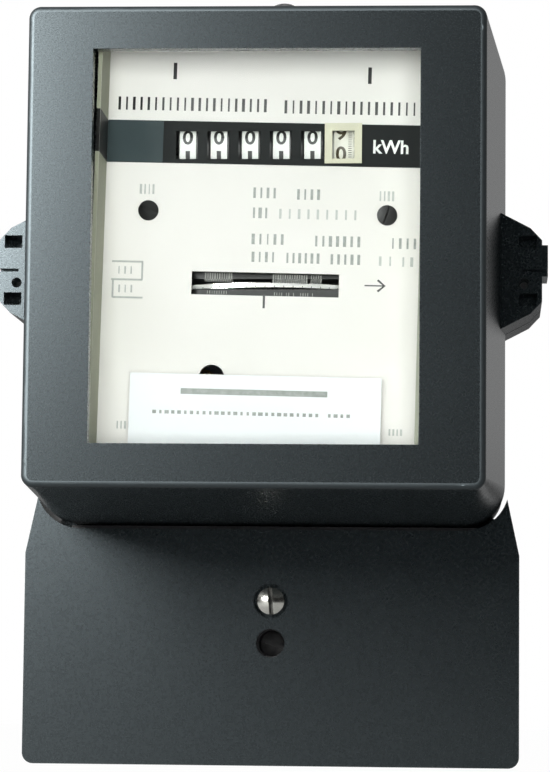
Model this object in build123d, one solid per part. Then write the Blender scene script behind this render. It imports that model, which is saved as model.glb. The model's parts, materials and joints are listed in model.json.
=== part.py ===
from build123d import *
import math
import os

# Single-phase disc meter. Millimetres, +Z up, the wall plane is y = 0 and the front faces -Y.
# The origin is the centre of the housing's back face. "depth" is the distance in front of the wall.

# ---- clearances ----
seat_gap = 0.05            # between pieces of the movement that stay still together
running_gap = 0.05         # radial, a turning shaft or a withdrawn screw in its hole
free_gap = 0.4             # pieces that pass each other without touching
cover_gap = 1.2            # housing outline to the terminal cover's hollow top edge

# ---- base and covers ----
meter_depth = 115.0        # wall to the front of the meter cover
rim_depth = 38.4           # wall to the meter cover's rear rim
front_width = 117.0
front_height = 123.2
rim_width = 127.5
rim_height = 134.0
rim_corner = 11.0
front_corner = 3.0
front_edge_round = 1.6
cover_wall = 3.0
cover_front_wall = 4.0
base_inset = 0.5           # the base sits this far inside the cover's rim
base_wall = 3.0
base_back = 3.5
gasket_thick = 1.2
window_width = 83.6
window_height = 101.0
glass_overlap = 2.2        # the pane reaches this far past each edge of the window
glass_thick = 3.0
glass_seal_thick = 0.8
clip_width = 9.0
clip_thick = 0.8
clip_hold = 1.4            # how far a clip reaches over the pane
clip_stand = 0.3           # pane's edge to the clip
clip_foot = 3.6

# ---- ears that seal the cover to the base ----
ear_centre_z = 0.75
ear_root_half = 16.2
ear_tip_half = 8.3
ear_mid_half = 11.6
ear_mid_reach = 70.4       # from the middle of the meter to the ear's shoulder
ear_reach = 73.5           # from the middle of the meter to the ear's outer face
ear_front_depth = 58.0
base_ear_depth = 21.0
ear_pocket_offset = 7.8
ear_pocket_height = 3.4
ear_pocket_width = 4.8
ear_pocket_wall = 1.4      # from a pocket to the ear's outer face
ear_pocket_deep = 9.0
ear_slit_height = 0.8
ear_nub_reach = 1.6
ear_nub_height = 8.5
seal_screw_x = 68.7
seal_screw_drop = 3.4
seal_head_r = 1.3
seal_shank_r = 1.0
seal_head_drop = 6.0       # ear's front to the seat of the seal screw's head
seal_head_top = 2.5        # ear's front to the top of that head
seal_slot_deep = 0.8
seal_slot_half = 0.25
seal_hole_floor = 25.0
seal_screw_tip = 26.0
ear_nub_rise = 3.0
ear_lap = 0.8              # the ears run this far into the cover's wall

# ---- hanging lug ----
lug_top = 85.8
lug_width = 13.0
lug_thick = 2.4
lug_hole_r = 2.75
lug_foot = 17.0            # how far the lug runs down behind the housing's top edge
lug_rear_gap = 0.6
rivet_r = 1.6
rivet_pitch = 7.0
rivet_drop = 7.5
rivet_head_r = 2.8
rivet_head = 1.2
lug_pad_margin = 3.0

# ---- terminal cover and terminal block ----
terminal_half = 67.7
terminal_bottom = -132.4
terminal_ear_half = 64.2
terminal_ear_top = -58.5
terminal_shoulder = -75.0
terminal_wall = 2.6
terminal_rear_depth = 3.9
terminal_corner = 3.0
terminal_throat_half = 58.5
cable_slot_depth = 24.0    # the cover's bottom is open from here back to the wall
cover_screw_z = -87.7
cover_screw_head_r = 3.7
cover_screw_head = 4.2
cover_screw_r = 2.0
cover_screw_tip = 20.0
cover_slot_half = 0.7
cover_slot_deep = 1.8
seal_wire_r = 0.5
seal_wire_drop = 2.7       # head's front to the hole for the seal wire
cover_screw_hole_end = 15.0
cover_recess_r = 4.7
cover_recess_floor = 35.0
recess_wall = 1.6
lower_hole_z = -99.2
lower_hole_r = 3.9
block_half = 56.0
block_top = -67.0
block_bottom = -112.0
block_depth = 30.0
boss_depth = 33.0
boss_r = 6.0
terminal_in = 11.0         # block's end to the middle of the outer brass body
terminal_pitch = 18.0      # between the two bodies of a pair
terminal_body_width = 12.0
terminal_body_top = -72.0
terminal_body_bottom = -110.0
terminal_body_rear = 6.0
terminal_body_front = 20.0
wire_bore_r = 4.0
wire_bore_depth = 13.0
wire_funnel_r = 4.8
terminal_screw_r = 2.4
terminal_screw_head_r = 3.2
terminal_screw_head = 3.0
terminal_screw_tip = 17.4
terminal_screw_z = (-82.0, -100.0)
rib_in = 1.2               # block's end to the middle of the outer rib
inner_rib_in = 38.0
rib_thick = 1.6
rib_high = 3.6
fixing_spacing = 105.0
fixing_z = -121.0
fixing_hole_r = 2.75
base_foot_half = 64.0
base_foot_bottom = -131.0
base_foot_top = -63.0      # the foot laps the tray, so that its round corners show no gap
base_foot_corner = 4.0
link_z = -90.0
link_width = 7.0
link_height = 16.0
link_thick = 1.2
link_travel = 4.0
link_screw_r = 1.5
link_screw_head_r = 2.8
link_screw_head = 1.8
link_screw_tip = 22.0
link_hole_end = 20.0
block_screw_seat = 24.0
block_screw_tip = 1.5
voltage_lead_depth = 7.0
voltage_lead_in = 7.5      # how far each covered wire enters the block
voltage_lead_top = (21.0, 15.0)
voltage_lead_coil_x = 7.0
voltage_lead_run_x = 33.0
voltage_lead_jog = (-58.0, -52.0)
voltage_lead_bend = 2.2

# ---- rotor ----
rotor_x = 0.8
rotor_depth = 46.5
disc_z = -6.6
disc_r = 39.0
disc_thick = 1.2
disc_hub_r = 4.0
disc_hub = 6.0
creep_hole_r = 1.2         # two small holes stop the disc creeping at no load
creep_hole_x = 24.2
spindle_r = 1.25
pivot_r = 0.625
spindle_bottom = -46.0
spindle_top = 27.5
lower_arm_z = (-52.0, -47.0)
upper_arm_z = (28.5, 32.5)
bearing_r = 3.0
bearing_bore = 3.0
arm_half = 7.0

# ---- reduction from the spindle to the first drum: 50 x 40/16 x 48/16 = 375 ----
worm_module = 0.42
worm_pitch_r = 2.5
worm_root_r = 1.95
worm_tip_r = 2.9
worm_turns = 5
thread_root_half = 0.34
thread_tip_half = 0.14
worm_z = 16.0
wheel_teeth = 50
wheel_width = 1.6
stage_one_module = 0.45
stage_one_pinion = 16
stage_one_gear = 40
stage_two_module = 0.36
stage_two_pinion = 16
stage_two_gear = 48
gear_width = 1.4
pinion_width = 2.0
train_shaft_r = 0.8
shaft_reach = 0.6          # the shafts stand out of the cheeks by this much
idler_gear_gap = 2.2       # between the first drum's gear and the idler's
addendum = 0.9             # tooth height above the pitch line, in modules
dedendum = 1.15
flank_slope = 0.36

# ---- number drums ----
drum_count = 6
drum_pitch = 8.2
first_drum_x = 21.2        # the fastest drum, at the right
drum_axis_z = 29.8
drum_r = 9.0
drum_rim = 5.2
drum_wall = 1.2
drum_hub_r = 2.4
drum_shaft_r = 1.0
drum_plate_gap = 0.6       # drums to the back of the dial plate
carry_module = 0.7
carry_gear_teeth = 20
carry_pinion_teeth = 8
carry_gear_width = 1.2
carry_disc_width = 1.0
carry_disc_r = 5.9
carry_tooth_long = 2.0
carry_tooth_wide = 0.8
carry_tooth_out = 0.6
carry_angle = 60.0         # where the transfer pinions lie, from straight back towards up
pinion_shaft_r = 0.8

# ---- register frame ----
cheek_thick = 1.2
left_cheek_x = -29.5
right_cheek_x = 30.5
cheek_front = 85.0
cheek_rear = 50.0
cheek_top = 42.0
sole_z = 3.0
small_screw_r = 1.5
small_head_r = 2.6
small_head = 1.6
register_screw_z = 9.0
register_screw_in = (5.0, 4.0)
register_foot_width = 10.0
register_foot_high = 11.0

# ---- movement frame and magnets ----
frame_half_width = 50.0
frame_half_height = 50.0
frame_rear = 33.0
frame_thick = 3.0
disc_slot = 9.0
leg_x = 43.0
leg_z = 42.0
leg_r = 4.2
boss_height = 12.0
frame_screw_r = 2.0
frame_screw_head_r = 3.6
frame_screw_head = 2.6
frame_screw_tip = 5.5
core_rear = 16.0
core_stack = 12.0
air_gap = 1.6
voltage_pole_half = 6.0
voltage_limb_in = 18.0
voltage_core_half = 26.0
voltage_tip_in = 8.0
voltage_window_bottom = 7.0
voltage_window_top = 29.0
voltage_core_top = 39.0
coil_build = 4.4
bobbin_wall = 1.0
current_limb_in = 9.0
current_limb_out = 17.0
current_limb_bottom = -38.0
current_core_bottom = -46.0
current_coil_top = -14.0
current_coil_bottom = -36.5
core_screw_r = 1.5
core_boss_r = 4.0
nut_r = 3.0
nut_thick = 2.2
current_lead_r = 1.6
current_lead_bend = 4.0
current_lead_top = -31.0   # where the thick leads turn in to their coils
current_lead_knee = -42.0
left_lead_turn = -56.0
left_lead_out = 19.8       # the left coil's middle to the lead's upright run
right_lead_turn = -59.0
right_lead_run = -53.0
right_lead_step = 12.0
right_lead_out = (10.0, 16.0)
bridge_z = -18.0
voltage_lead_r = 0.9
magnet_x = (26.0, 47.0)
magnet_depth = (54.0, 68.0)
magnet_below = 10.0
magnet_above = 8.2
magnet_slot = 5.0
magnet_slot_end = 41.0
bracket_thick = 1.5
magnet_screw_in = 6.0
magnet_tab_drop = 7.0
magnet_tab_margin = 5.0
magnet_screw_long = 4.0
lever_x = -34.0
lever_z = -26.0
lever_length = 15.0
lever_width = 7.0
lever_thick = 1.0
lever_screw_lift = 0.3

# ---- dial ----
dial_tilt = 1.2            # the plate sits this many degrees clockwise in its slack holes
plate_depth = 89.0
plate_thick = 1.0
plate_half = 42.5
plate_top = 57.0
plate_bottom = -54.0
flange_gap = 1.0           # the plate's two edges run forward until this far behind the glass
flange_thick = 1.0
band_bottom = 24.6
band_top = 35.75
band_thick = 0.5
drum_window_width = 5.8
drum_window_height = 7.4
frame_piece_width = 9.7
frame_piece_height = 10.6
frame_piece_thick = 0.5
slot_centre_u = 1.17
slot_centre_w = -6.85
slot_width = 38.5
slot_height = 6.1
plate_screw_u = (-30.0, 32.5)
plate_screw_w = 11.9
plate_screw_head_r = 2.65
plate_screw_head = 1.0
sight_hole_u = -12.05
sight_hole_w = -31.5
sight_hole_r = 3.3
label_u = (-32.8, 32.4)
label_w = (-51.0, -31.2)
label_standoff = 4.0
label_thick = 0.7
label_post_in = 6.0
post_r = 1.5
dial_arm_x = 48.8
dial_arm_thick = 1.2
dial_arm_foot = 8.0
arm_screw_in = 4.0
dial_arm_z = (2.0, 22.0)
dial_tab_in = 24.0
dial_tab_z = (6.0, 18.0)

# ---- values worked out from the ones above ----
base_width = rim_width - 2 * base_inset
base_height = rim_height - 2 * base_inset
base_rim_depth = rim_depth - gasket_thick
cover_inner_depth = meter_depth - cover_front_wall
glass_front = cover_inner_depth - glass_seal_thick
glass_rear = glass_front - glass_thick
glass_half_width = window_width / 2 + glass_overlap
glass_half_height = window_height / 2 + glass_overlap
frame_front = frame_rear + frame_thick
core_front = core_rear + core_stack
core_middle = (core_rear + core_front) / 2
voltage_pole_z = disc_z + disc_thick / 2 + air_gap
current_pole_z = disc_z - disc_thick / 2 - air_gap
plate_back = plate_depth - plate_thick
flange_reach = glass_rear - flange_gap - plate_depth
outer_terminal = block_half - terminal_in
inner_terminal = outer_terminal - terminal_pitch
terminal_x = (-outer_terminal, -inner_terminal, inner_terminal, outer_terminal)
rib_x = (rib_in - block_half, inner_rib_in - block_half, block_half - inner_rib_in, block_half - rib_in)
voltage_lead_x = (outer_terminal + inner_terminal) / 2
link_x = -voltage_lead_x
band_front = plate_depth + band_thick
worm_pitch = math.pi * worm_module
wheel_r = worm_module * wheel_teeth / 2
wheel_depth = rotor_depth + worm_pitch_r + wheel_r
drum_axis_depth = plate_back - drum_plate_gap - drum_r
first_pitch = stage_one_module * (stage_one_pinion + stage_one_gear) / 2
second_pitch = stage_two_module * (stage_two_pinion + stage_two_gear) / 2
carry_distance = carry_module * (carry_gear_teeth + carry_pinion_teeth) / 2
drum_face = first_drum_x + drum_rim / 2
wheel_shaft_start = left_cheek_x - shaft_reach
wheel_shaft_end = right_cheek_x + cheek_thick + shaft_reach
drum_gear_x = drum_face
idler_gear_x = drum_face + gear_width + idler_gear_gap


def facing(depth):
    """The plane this far in front of the wall, looking out of it."""
    return Plane.XZ.offset(depth)


def slab(sketch, start, end):
    """A flat sketch in X and Z, made solid between two depths."""
    return extrude(facing(start) * sketch, amount=end - start)


def block(x_low, x_high, start, end, z_low, z_high):
    """A box between two X, two depths and two Z."""
    size = Box(x_high - x_low, end - start, z_high - z_low)
    return Pos((x_low + x_high) / 2, -(start + end) / 2, (z_low + z_high) / 2) * size


def rod_y(radius, x, z, start, end):
    """A cylinder that runs in and out of the wall."""
    middle = Pos(x, -(start + end) / 2, z)
    return middle * Rot(90, 0, 0) * Cylinder(radius, end - start)


def rod_z(radius, x, depth, z_low, z_high):
    """An upright cylinder."""
    return Pos(x, -depth, (z_low + z_high) / 2) * Cylinder(radius, z_high - z_low)


def rod_x(radius, depth, z, x_low, x_high):
    """A cylinder that runs across the meter."""
    middle = Pos((x_low + x_high) / 2, -depth, z)
    return middle * Rot(0, 90, 0) * Cylinder(radius, x_high - x_low)


def on_dial(u, w):
    """Where a point of the dial plate lies once the plate is tilted."""
    tilt = math.radians(dial_tilt)
    x = u * math.cos(tilt) + w * math.sin(tilt)
    z = w * math.cos(tilt) - u * math.sin(tilt)
    return x, z


def tilted(shape):
    """Turn a piece of the dial clockwise as seen from the front."""
    return shape.rotate(Axis.Y, dial_tilt)


def housing_outline(extra):
    """The outline of the meter cover's rim, grown by a clearance."""
    return RectangleRounded(rim_width + 2 * extra, rim_height + 2 * extra, rim_corner + extra)


def save(node, *solids):
    """Write one node, from one solid or from a group of separate ones."""
    shape = solids[0] if len(solids) == 1 else Compound(children=list(solids))
    shape.label = node
    export_step(shape, "parts/" + node + ".step")


# ---------------------------------------------------------------- toothed parts

def gear_outline(module, teeth, tooth_angle, thickness=0.46):
    """A spur gear's outline with straight flanks; one tooth stands at tooth_angle."""
    pitch_r = module * teeth / 2
    tip_r = pitch_r + addendum * module
    root_r = pitch_r - dedendum * module
    step = 2 * math.pi / teeth
    half_pitch = step * thickness / 2
    half_tip = half_pitch - flank_slope * addendum * module / pitch_r
    half_root = half_pitch + min(flank_slope * dedendum * module / pitch_r, 0.1 * step)
    points = []
    for tooth in range(teeth):
        middle = math.radians(tooth_angle) + tooth * step
        for radius, offset in ((root_r, -half_root), (tip_r, -half_tip), (tip_r, half_tip), (root_r, half_root)):
            points.append((radius * math.cos(middle + offset), radius * math.sin(middle + offset)))
    return make_face(Polyline(*points, close=True))


def gear_across(outline, depth, z, x_low, x_high, bore_r):
    """A gear with its axis across the meter; angles run from straight back towards up."""
    solid = extrude(Plane.YZ * outline, amount=x_high - x_low)
    solid = Pos(x_low, -depth, z) * solid
    return solid - rod_x(bore_r, depth, z, x_low - 1, x_high + 1)


def direction(from_depth, from_z, to_depth, to_z):
    """The angle of one shaft seen from another, from straight back towards up."""
    return math.degrees(math.atan2(to_z - from_z, from_depth - to_depth))


def idler_place():
    """The idler shaft is the lower of the two places where both its meshes close."""
    across = drum_axis_depth - wheel_depth
    up = drum_axis_z - worm_z
    apart = math.hypot(across, up)
    along = (first_pitch ** 2 - second_pitch ** 2 + apart ** 2) / (2 * apart)
    aside = math.sqrt(first_pitch ** 2 - along ** 2)
    depth = wheel_depth + (along * across + aside * up) / apart
    z = worm_z + (along * up - aside * across) / apart
    return depth, z


idler_depth, idler_z = idler_place()
carry_depth = drum_axis_depth - carry_distance * math.cos(math.radians(carry_angle))
carry_z = drum_axis_z + carry_distance * math.sin(math.radians(carry_angle))


def drum_centre(place):
    """Drums are counted from the right, the fastest first."""
    return first_drum_x - place * drum_pitch


# ---------------------------------------------------------------- base

def ear_outline(side):
    """One ear, as seen from the front."""
    root = rim_width / 2 - cover_wall + ear_lap
    points = [(root, ear_root_half), (ear_mid_reach, ear_mid_half), (ear_reach, ear_tip_half),
              (ear_reach, -ear_tip_half), (ear_mid_reach, -ear_mid_half), (root, -ear_root_half)]
    placed = [(side * x, ear_centre_z + z) for x, z in points]
    return make_face(Polyline(*placed, close=True))


def base_housing():
    """The moulded back half: a tray, its two ears and the foot behind the terminals."""
    tray = slab(RectangleRounded(base_width, base_height, rim_corner - base_inset), 0, base_rim_depth)
    hollow = RectangleRounded(base_width - 2 * base_wall, base_height - 2 * base_wall,
                              rim_corner - base_inset - base_wall)
    tray -= slab(hollow, base_back, base_rim_depth + 1)
    foot_height = base_foot_top - base_foot_bottom
    foot = Pos(0, (base_foot_top + base_foot_bottom) / 2) * RectangleRounded(2 * base_foot_half, foot_height, base_foot_corner)
    tray += slab(foot, 0, base_back)
    for side in (-1, 1):
        ear = slab(ear_outline(side), base_ear_depth, base_rim_depth)
        tray += ear
        tray -= rod_y(seal_shank_r + running_gap, side * seal_screw_x, ear_centre_z - seal_screw_drop,
                      seal_hole_floor, base_rim_depth + 1)
        for z in (-leg_z, leg_z):
            tray += rod_y(leg_r, side * leg_x, z, base_back - 0.5, boss_height)
            tray -= rod_y(frame_screw_r + seat_gap, side * leg_x, z, base_back + 1, boss_height + 1)
        tray -= rod_y(fixing_hole_r, side * fixing_spacing / 2, fixing_z, -1, base_back + 1)
        tray -= rod_z(voltage_lead_r + free_gap, side * voltage_lead_x, voltage_lead_depth,
                      -rim_height / 2 - 1, -rim_height / 2 + base_wall + 3)
    for x in terminal_x[:2]:
        tray -= rod_z(current_lead_r + free_gap, x, wire_bore_depth,
                      -rim_height / 2 - 1, -rim_height / 2 + base_wall + 3)
    seat_top = base_height / 2
    seat_bottom = seat_top - lug_foot
    pad = block(-lug_width, lug_width, base_back - 0.5, lug_thick + lug_rear_gap + base_back,
                seat_bottom - lug_pad_margin, seat_top - base_wall + 0.5)
    tray += pad
    tray -= block(-lug_width / 2 - seat_gap, lug_width / 2 + seat_gap, -1,
                  lug_thick + lug_rear_gap + seat_gap, seat_bottom - seat_gap, seat_top + 1)
    for z in rivet_places():
        tray -= rod_y(rivet_r + seat_gap, 0, z, 0, lug_thick + lug_rear_gap + base_back + 1)
    tray -= rod_y(cover_screw_r + seat_gap, 0, lower_hole_z, 1, base_back + 1)
    return tray


def rivet_places():
    top = base_height / 2 - rivet_drop
    return (top, top - rivet_pitch)


def hanging_lug():
    """A pressed steel strap with a round top, riveted into a seat in the base."""
    top_r = lug_width / 2
    bottom = base_height / 2 - lug_foot
    centre = lug_top - top_r
    outline = Pos(0, (centre + bottom) / 2) * Rectangle(lug_width, centre - bottom)
    outline += Pos(0, centre) * Circle(top_r)
    outline -= Pos(0, centre) * Circle(lug_hole_r)
    for z in rivet_places():
        outline -= Pos(0, z) * Circle(rivet_r + seat_gap)
    return slab(outline, lug_rear_gap, lug_rear_gap + lug_thick)


def lug_rivets():
    """Two rivets; the flat head lies inside the tray."""
    inside = lug_thick + lug_rear_gap + base_back
    rivets = []
    for z in rivet_places():
        shank = rod_y(rivet_r, 0, z, 0.2, inside + 1)
        rivets.append(shank + rod_y(rivet_head_r, 0, z, inside + 0.02, inside + rivet_head))
    return rivets


def cover_gasket():
    """A felt ring between the base's rim and the cover's rim."""
    outer = RectangleRounded(base_width - 0.6, base_height - 0.6, rim_corner - base_inset - 0.3)
    inner = RectangleRounded(base_width - 2 * base_wall + 0.8, base_height - 2 * base_wall + 0.8,
                             rim_corner - base_inset - base_wall + 0.4)
    return slab(outer - inner, base_rim_depth, rim_depth - 0.02)


# ---------------------------------------------------------------- meter cover

def drafted(width_cut, start, end):
    """The cover's drafted block between two depths, smaller all round by a wall."""
    sections = []
    for depth in (start, end):
        share = (depth - rim_depth) / (meter_depth - rim_depth)
        width = rim_width + (front_width - rim_width) * share - 2 * width_cut
        height = rim_height + (front_height - rim_height) * share - 2 * width_cut
        corner = rim_corner + (front_corner - rim_corner) * share - 0.6 * width_cut
        sections.append(facing(depth) * RectangleRounded(width, height, max(corner, 1.0)))
    return loft(sections, ruled=True)


def ear_screw_z():
    return ear_centre_z - seal_screw_drop


def meter_cover():
    """The moulded front half: five drafted walls, the window and two sealing ears."""
    shell = drafted(0, rim_depth, meter_depth)
    front_edges = shell.faces().sort_by(Axis.Y)[0].edges()
    shell = fillet(front_edges, front_edge_round)
    for side in (-1, 1):
        ear = slab(ear_outline(side), rim_depth, ear_front_depth)
        shell += ear
    nub = block(ear_reach - 2, ear_reach + ear_nub_reach, rim_depth + 2, ear_front_depth - 2,
                ear_centre_z + ear_nub_rise - ear_nub_height / 2, ear_centre_z + ear_nub_rise + ear_nub_height / 2)
    shell += nub
    shell -= drafted(cover_wall, rim_depth - 0.01, cover_inner_depth)
    shell -= slab(Rectangle(window_width, window_height), cover_inner_depth - 1, meter_depth + 1)
    for side in (-1, 1):
        for offset in (-ear_pocket_offset, ear_pocket_offset):
            middle = side * (ear_reach - ear_pocket_wall - ear_pocket_width / 2)
            shell -= block(middle - ear_pocket_width / 2, middle + ear_pocket_width / 2,
                           ear_front_depth - ear_pocket_deep, ear_front_depth + 1,
                           ear_centre_z + offset - ear_pocket_height / 2,
                           ear_centre_z + offset + ear_pocket_height / 2)
        slit_in = side * (ear_reach - ear_pocket_width - 0.5)
        slit_out = side * (ear_reach + ear_nub_reach + 1)
        shell -= block(min(slit_in, slit_out), max(slit_in, slit_out), ear_front_depth - 3, ear_front_depth + 1,
                       ear_centre_z - ear_slit_height / 2, ear_centre_z + ear_slit_height / 2)
        shell -= rod_y(seal_head_r + running_gap, side * seal_screw_x, ear_screw_z(),
                       ear_front_depth - seal_head_drop, ear_front_depth + 1)
        shell -= rod_y(seal_shank_r + running_gap, side * seal_screw_x, ear_screw_z(),
                       rim_depth - 1, ear_front_depth)
    return shell


def cover_seal_screws():
    """Two slender slotted screws that pin the cover's ears to the base's ears."""
    screws = []
    head_seat = ear_front_depth - seal_head_drop
    head_top = ear_front_depth - seal_head_top
    for side in (-1, 1):
        x = side * seal_screw_x
        screw = rod_y(seal_shank_r, x, ear_screw_z(), seal_screw_tip, head_seat + seal_slot_half)
        screw += rod_y(seal_head_r, x, ear_screw_z(), head_seat, head_top)
        screw -= block(x - seal_slot_half, x + seal_slot_half, head_top - seal_slot_deep, ear_front_depth,
                       ear_screw_z() - seal_head_r, ear_screw_z() + seal_head_r)
        screws.append(screw)
    return screws


def window_glass():
    return slab(Rectangle(2 * glass_half_width, 2 * glass_half_height), glass_rear, glass_front)


def glass_seal():
    """A flat rubber ring between the pane and the cover's front wall."""
    outer = Rectangle(2 * glass_half_width, 2 * glass_half_height)
    inner = Rectangle(window_width + 0.8, window_height + 0.8)
    return slab(outer - inner, glass_front, cover_inner_depth)


def glass_clips():
    """Spring clips that hold the pane at its top and bottom edges."""
    clips = []
    spread = window_width / 4
    for end in (-1, 1):
        for side in (-1, 1):
            x = side * spread
            near = glass_half_height - clip_hold
            edge = glass_half_height + clip_stand
            far = glass_half_height + clip_foot
            lip = block(x - clip_width / 2, x + clip_width / 2, glass_rear - clip_thick, glass_rear,
                        min(end * near, end * (edge + clip_thick)), max(end * near, end * (edge + clip_thick)))
            wall = block(x - clip_width / 2, x + clip_width / 2, glass_rear - clip_thick, cover_inner_depth,
                         min(end * edge, end * (edge + clip_thick)), max(end * edge, end * (edge + clip_thick)))
            foot = block(x - clip_width / 2, x + clip_width / 2, cover_inner_depth - clip_thick, cover_inner_depth,
                         min(end * edge, end * far), max(end * edge, end * far))
            clips.append(lip + wall + foot)
    return clips


# ---------------------------------------------------------------- terminals

def terminal_outline(inset):
    """The terminal cover from the front, with its two horns beside the housing."""
    half = terminal_half - inset
    horn = terminal_ear_half - inset
    bottom = terminal_bottom + inset
    points = [(-horn, terminal_ear_top - inset), (-half, terminal_shoulder), (-half, bottom),
              (half, bottom), (half, terminal_shoulder), (horn, terminal_ear_top - inset)]
    outline = make_face(Polyline(*points, close=True))
    corners = outline.vertices().group_by(Axis.Y)[0]
    outline = fillet(corners, max(terminal_corner - inset, 0.6))
    return outline - housing_outline(cover_gap + inset)


def terminal_cover():
    """A deep tray over the terminals, open behind and, near the wall, below."""
    cover = slab(terminal_outline(0), terminal_rear_depth, rim_depth)
    inside = rim_depth - terminal_wall
    cover -= slab(terminal_outline(terminal_wall), terminal_rear_depth - 1, inside)
    throat_top = -rim_height / 2 + 3
    cover -= block(-terminal_throat_half, terminal_throat_half, terminal_rear_depth - 1, inside,
                   terminal_shoulder, throat_top)
    cover -= block(-terminal_half + terminal_wall, terminal_half - terminal_wall, terminal_rear_depth - 1,
                   cable_slot_depth, terminal_bottom - 1, terminal_bottom + terminal_wall + 1)
    cup_r = cover_recess_r + recess_wall
    cover += rod_y(cup_r, 0, cover_screw_z, cover_recess_floor - recess_wall, rim_depth - 0.5)
    cover -= rod_y(cover_recess_r, 0, cover_screw_z, cover_recess_floor, rim_depth + 1)
    cover -= rod_y(cover_screw_r + running_gap, 0, cover_screw_z, block_depth, rim_depth)
    cover -= rod_y(lower_hole_r, 0, lower_hole_z, block_depth, rim_depth + 1)
    return cover


def terminal_cover_screw():
    """A sealing screw: a tall slotted head with a cross hole for the seal wire."""
    top = cover_recess_floor + cover_screw_head
    screw = rod_y(cover_screw_r, 0, cover_screw_z, cover_screw_tip, cover_recess_floor + 0.5)
    screw += rod_y(cover_screw_head_r, 0, cover_screw_z, cover_recess_floor, top)
    screw -= block(-cover_slot_half, cover_slot_half, top - cover_slot_deep, top + 1,
                   cover_screw_z - cover_screw_head_r, cover_screw_z + cover_screw_head_r)
    screw -= rod_x(seal_wire_r, top - seal_wire_drop, cover_screw_z, -cover_screw_head_r - 1, cover_screw_head_r + 1)
    return screw


def terminal_block():
    """The moulded block that holds the brass bodies against the base's foot."""
    body = block(-block_half, block_half, base_back, block_depth, block_bottom, block_top)
    for x in rib_x:
        body += block(x - rib_thick / 2, x + rib_thick / 2, block_depth - 0.5, block_depth + rib_high,
                      block_bottom, block_top - 6)
    body += rod_y(boss_r, 0, cover_screw_z, block_depth - 1, boss_depth)
    body += rod_y(boss_r, 0, lower_hole_z, block_depth - 1, boss_depth)
    pocket_half = terminal_body_width / 2 + seat_gap
    for x in terminal_x:
        body -= block(x - pocket_half, x + pocket_half, base_back - 1, terminal_body_front + seat_gap,
                      terminal_body_bottom - seat_gap, terminal_body_top + seat_gap)
        body -= rod_z(wire_funnel_r, x, wire_bore_depth, block_bottom - 1, terminal_body_bottom + 1)
        for z in terminal_screw_z:
            body -= rod_y(terminal_screw_head_r + 0.3, x, z, terminal_body_front - 1, block_depth + 1)
    for x in terminal_x[:2]:
        body -= rod_z(current_lead_r + free_gap, x, wire_bore_depth, terminal_body_top - 1, block_top + 1)
    for x in (-voltage_lead_x, voltage_lead_x):
        body -= rod_z(voltage_lead_r + seat_gap, x, voltage_lead_depth, block_top - voltage_lead_in - 0.5, block_top + 1)
    body -= rod_y(cover_screw_r + running_gap, 0, cover_screw_z, cover_screw_hole_end, boss_depth + 1)
    body -= rod_y(lower_hole_r - 0.3, 0, lower_hole_z, block_screw_seat, boss_depth + 1)
    body -= rod_y(cover_screw_r + seat_gap, 0, lower_hole_z, base_back - 1, boss_depth)
    body -= rod_y(link_screw_r + seat_gap, link_x, link_z, link_hole_end, block_depth + 1)
    return body


def terminal_bodies():
    """Four brass bodies with a wire bore from below and two tapped holes in front."""
    bodies = []
    half = terminal_body_width / 2
    for x in terminal_x:
        brass = block(x - half, x + half, terminal_body_rear, terminal_body_front,
                      terminal_body_bottom, terminal_body_top)
        brass -= rod_z(wire_bore_r, x, wire_bore_depth, terminal_body_bottom - 1, terminal_body_top - 5)
        for z in terminal_screw_z:
            brass -= rod_y(terminal_screw_r + seat_gap, x, z, wire_bore_depth, terminal_body_front + 1)
        bodies.append(brass)
    return bodies


def slotted_screw(shank_r, head_r, head_high, x, z, tip, seat):
    """A screw driven towards the wall; its slotted head bears at the seat depth."""
    screw = rod_y(shank_r, x, z, tip, seat + head_high / 2)
    screw += rod_y(head_r, x, z, seat, seat + head_high)
    slot = head_r * 0.16
    return screw - block(x - head_r - 1, x + head_r + 1, seat + head_high * 0.5, seat + head_high + 1, z - slot, z + slot)


def terminal_screws():
    return [slotted_screw(terminal_screw_r, terminal_screw_head_r, terminal_screw_head, x, z,
                          terminal_screw_tip, terminal_body_front + 4)
            for x in terminal_x for z in terminal_screw_z]


def block_screw():
    """Holds the block to the base; it can be seen deep in the cover's lower hole."""
    return slotted_screw(cover_screw_r, terminal_screw_head_r, terminal_screw_head, 0, lower_hole_z,
                         block_screw_tip, block_screw_seat + seat_gap)


def voltage_link():
    """A brass strap that slides down along its slot to open the voltage circuit."""
    outline = Pos(link_x, link_z) * RectangleRounded(link_width, link_height, 2)
    slot_half = link_screw_r + running_gap
    outline -= Pos(link_x, link_z + link_travel / 2) * SlotCenterToCenter(link_travel, 2 * slot_half, rotation=90)
    return slab(outline, block_depth + 0.02, block_depth + 0.02 + link_thick)


def link_screw():
    seat = block_depth + 0.02 + link_thick + 0.03
    return slotted_screw(link_screw_r, link_screw_head_r, link_screw_head, link_x, link_z, link_screw_tip, seat)


# ---------------------------------------------------------------- movement frame

def core_screw_places():
    outer = (voltage_limb_in + voltage_core_half) / 2
    high = (voltage_window_top + voltage_core_top) / 2
    low = (current_core_bottom + current_limb_bottom) / 2
    inner = (current_limb_in + current_limb_out) / 2
    return [(rotor_x - outer, high), (rotor_x + outer, high), (rotor_x - inner, low), (rotor_x + inner, low)]


def small_screw_places():
    """The register frame's two, the magnet bracket's two, the lever's and the dial arms' four."""
    places = [(left_cheek_x + register_screw_in[0], register_screw_z),
              (right_cheek_x - register_screw_in[1], register_screw_z)]
    places += [(magnet_x[0] + magnet_screw_in, magnet_tab_z()), (magnet_x[1] - magnet_screw_in, magnet_tab_z())]
    for side in (-1, 1):
        for z in dial_arm_z:
            inward = arm_screw_in if z == dial_arm_z[0] else -arm_screw_in
            places.append((side * (dial_arm_x - arm_screw_in), z + inward))
    return places


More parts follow.
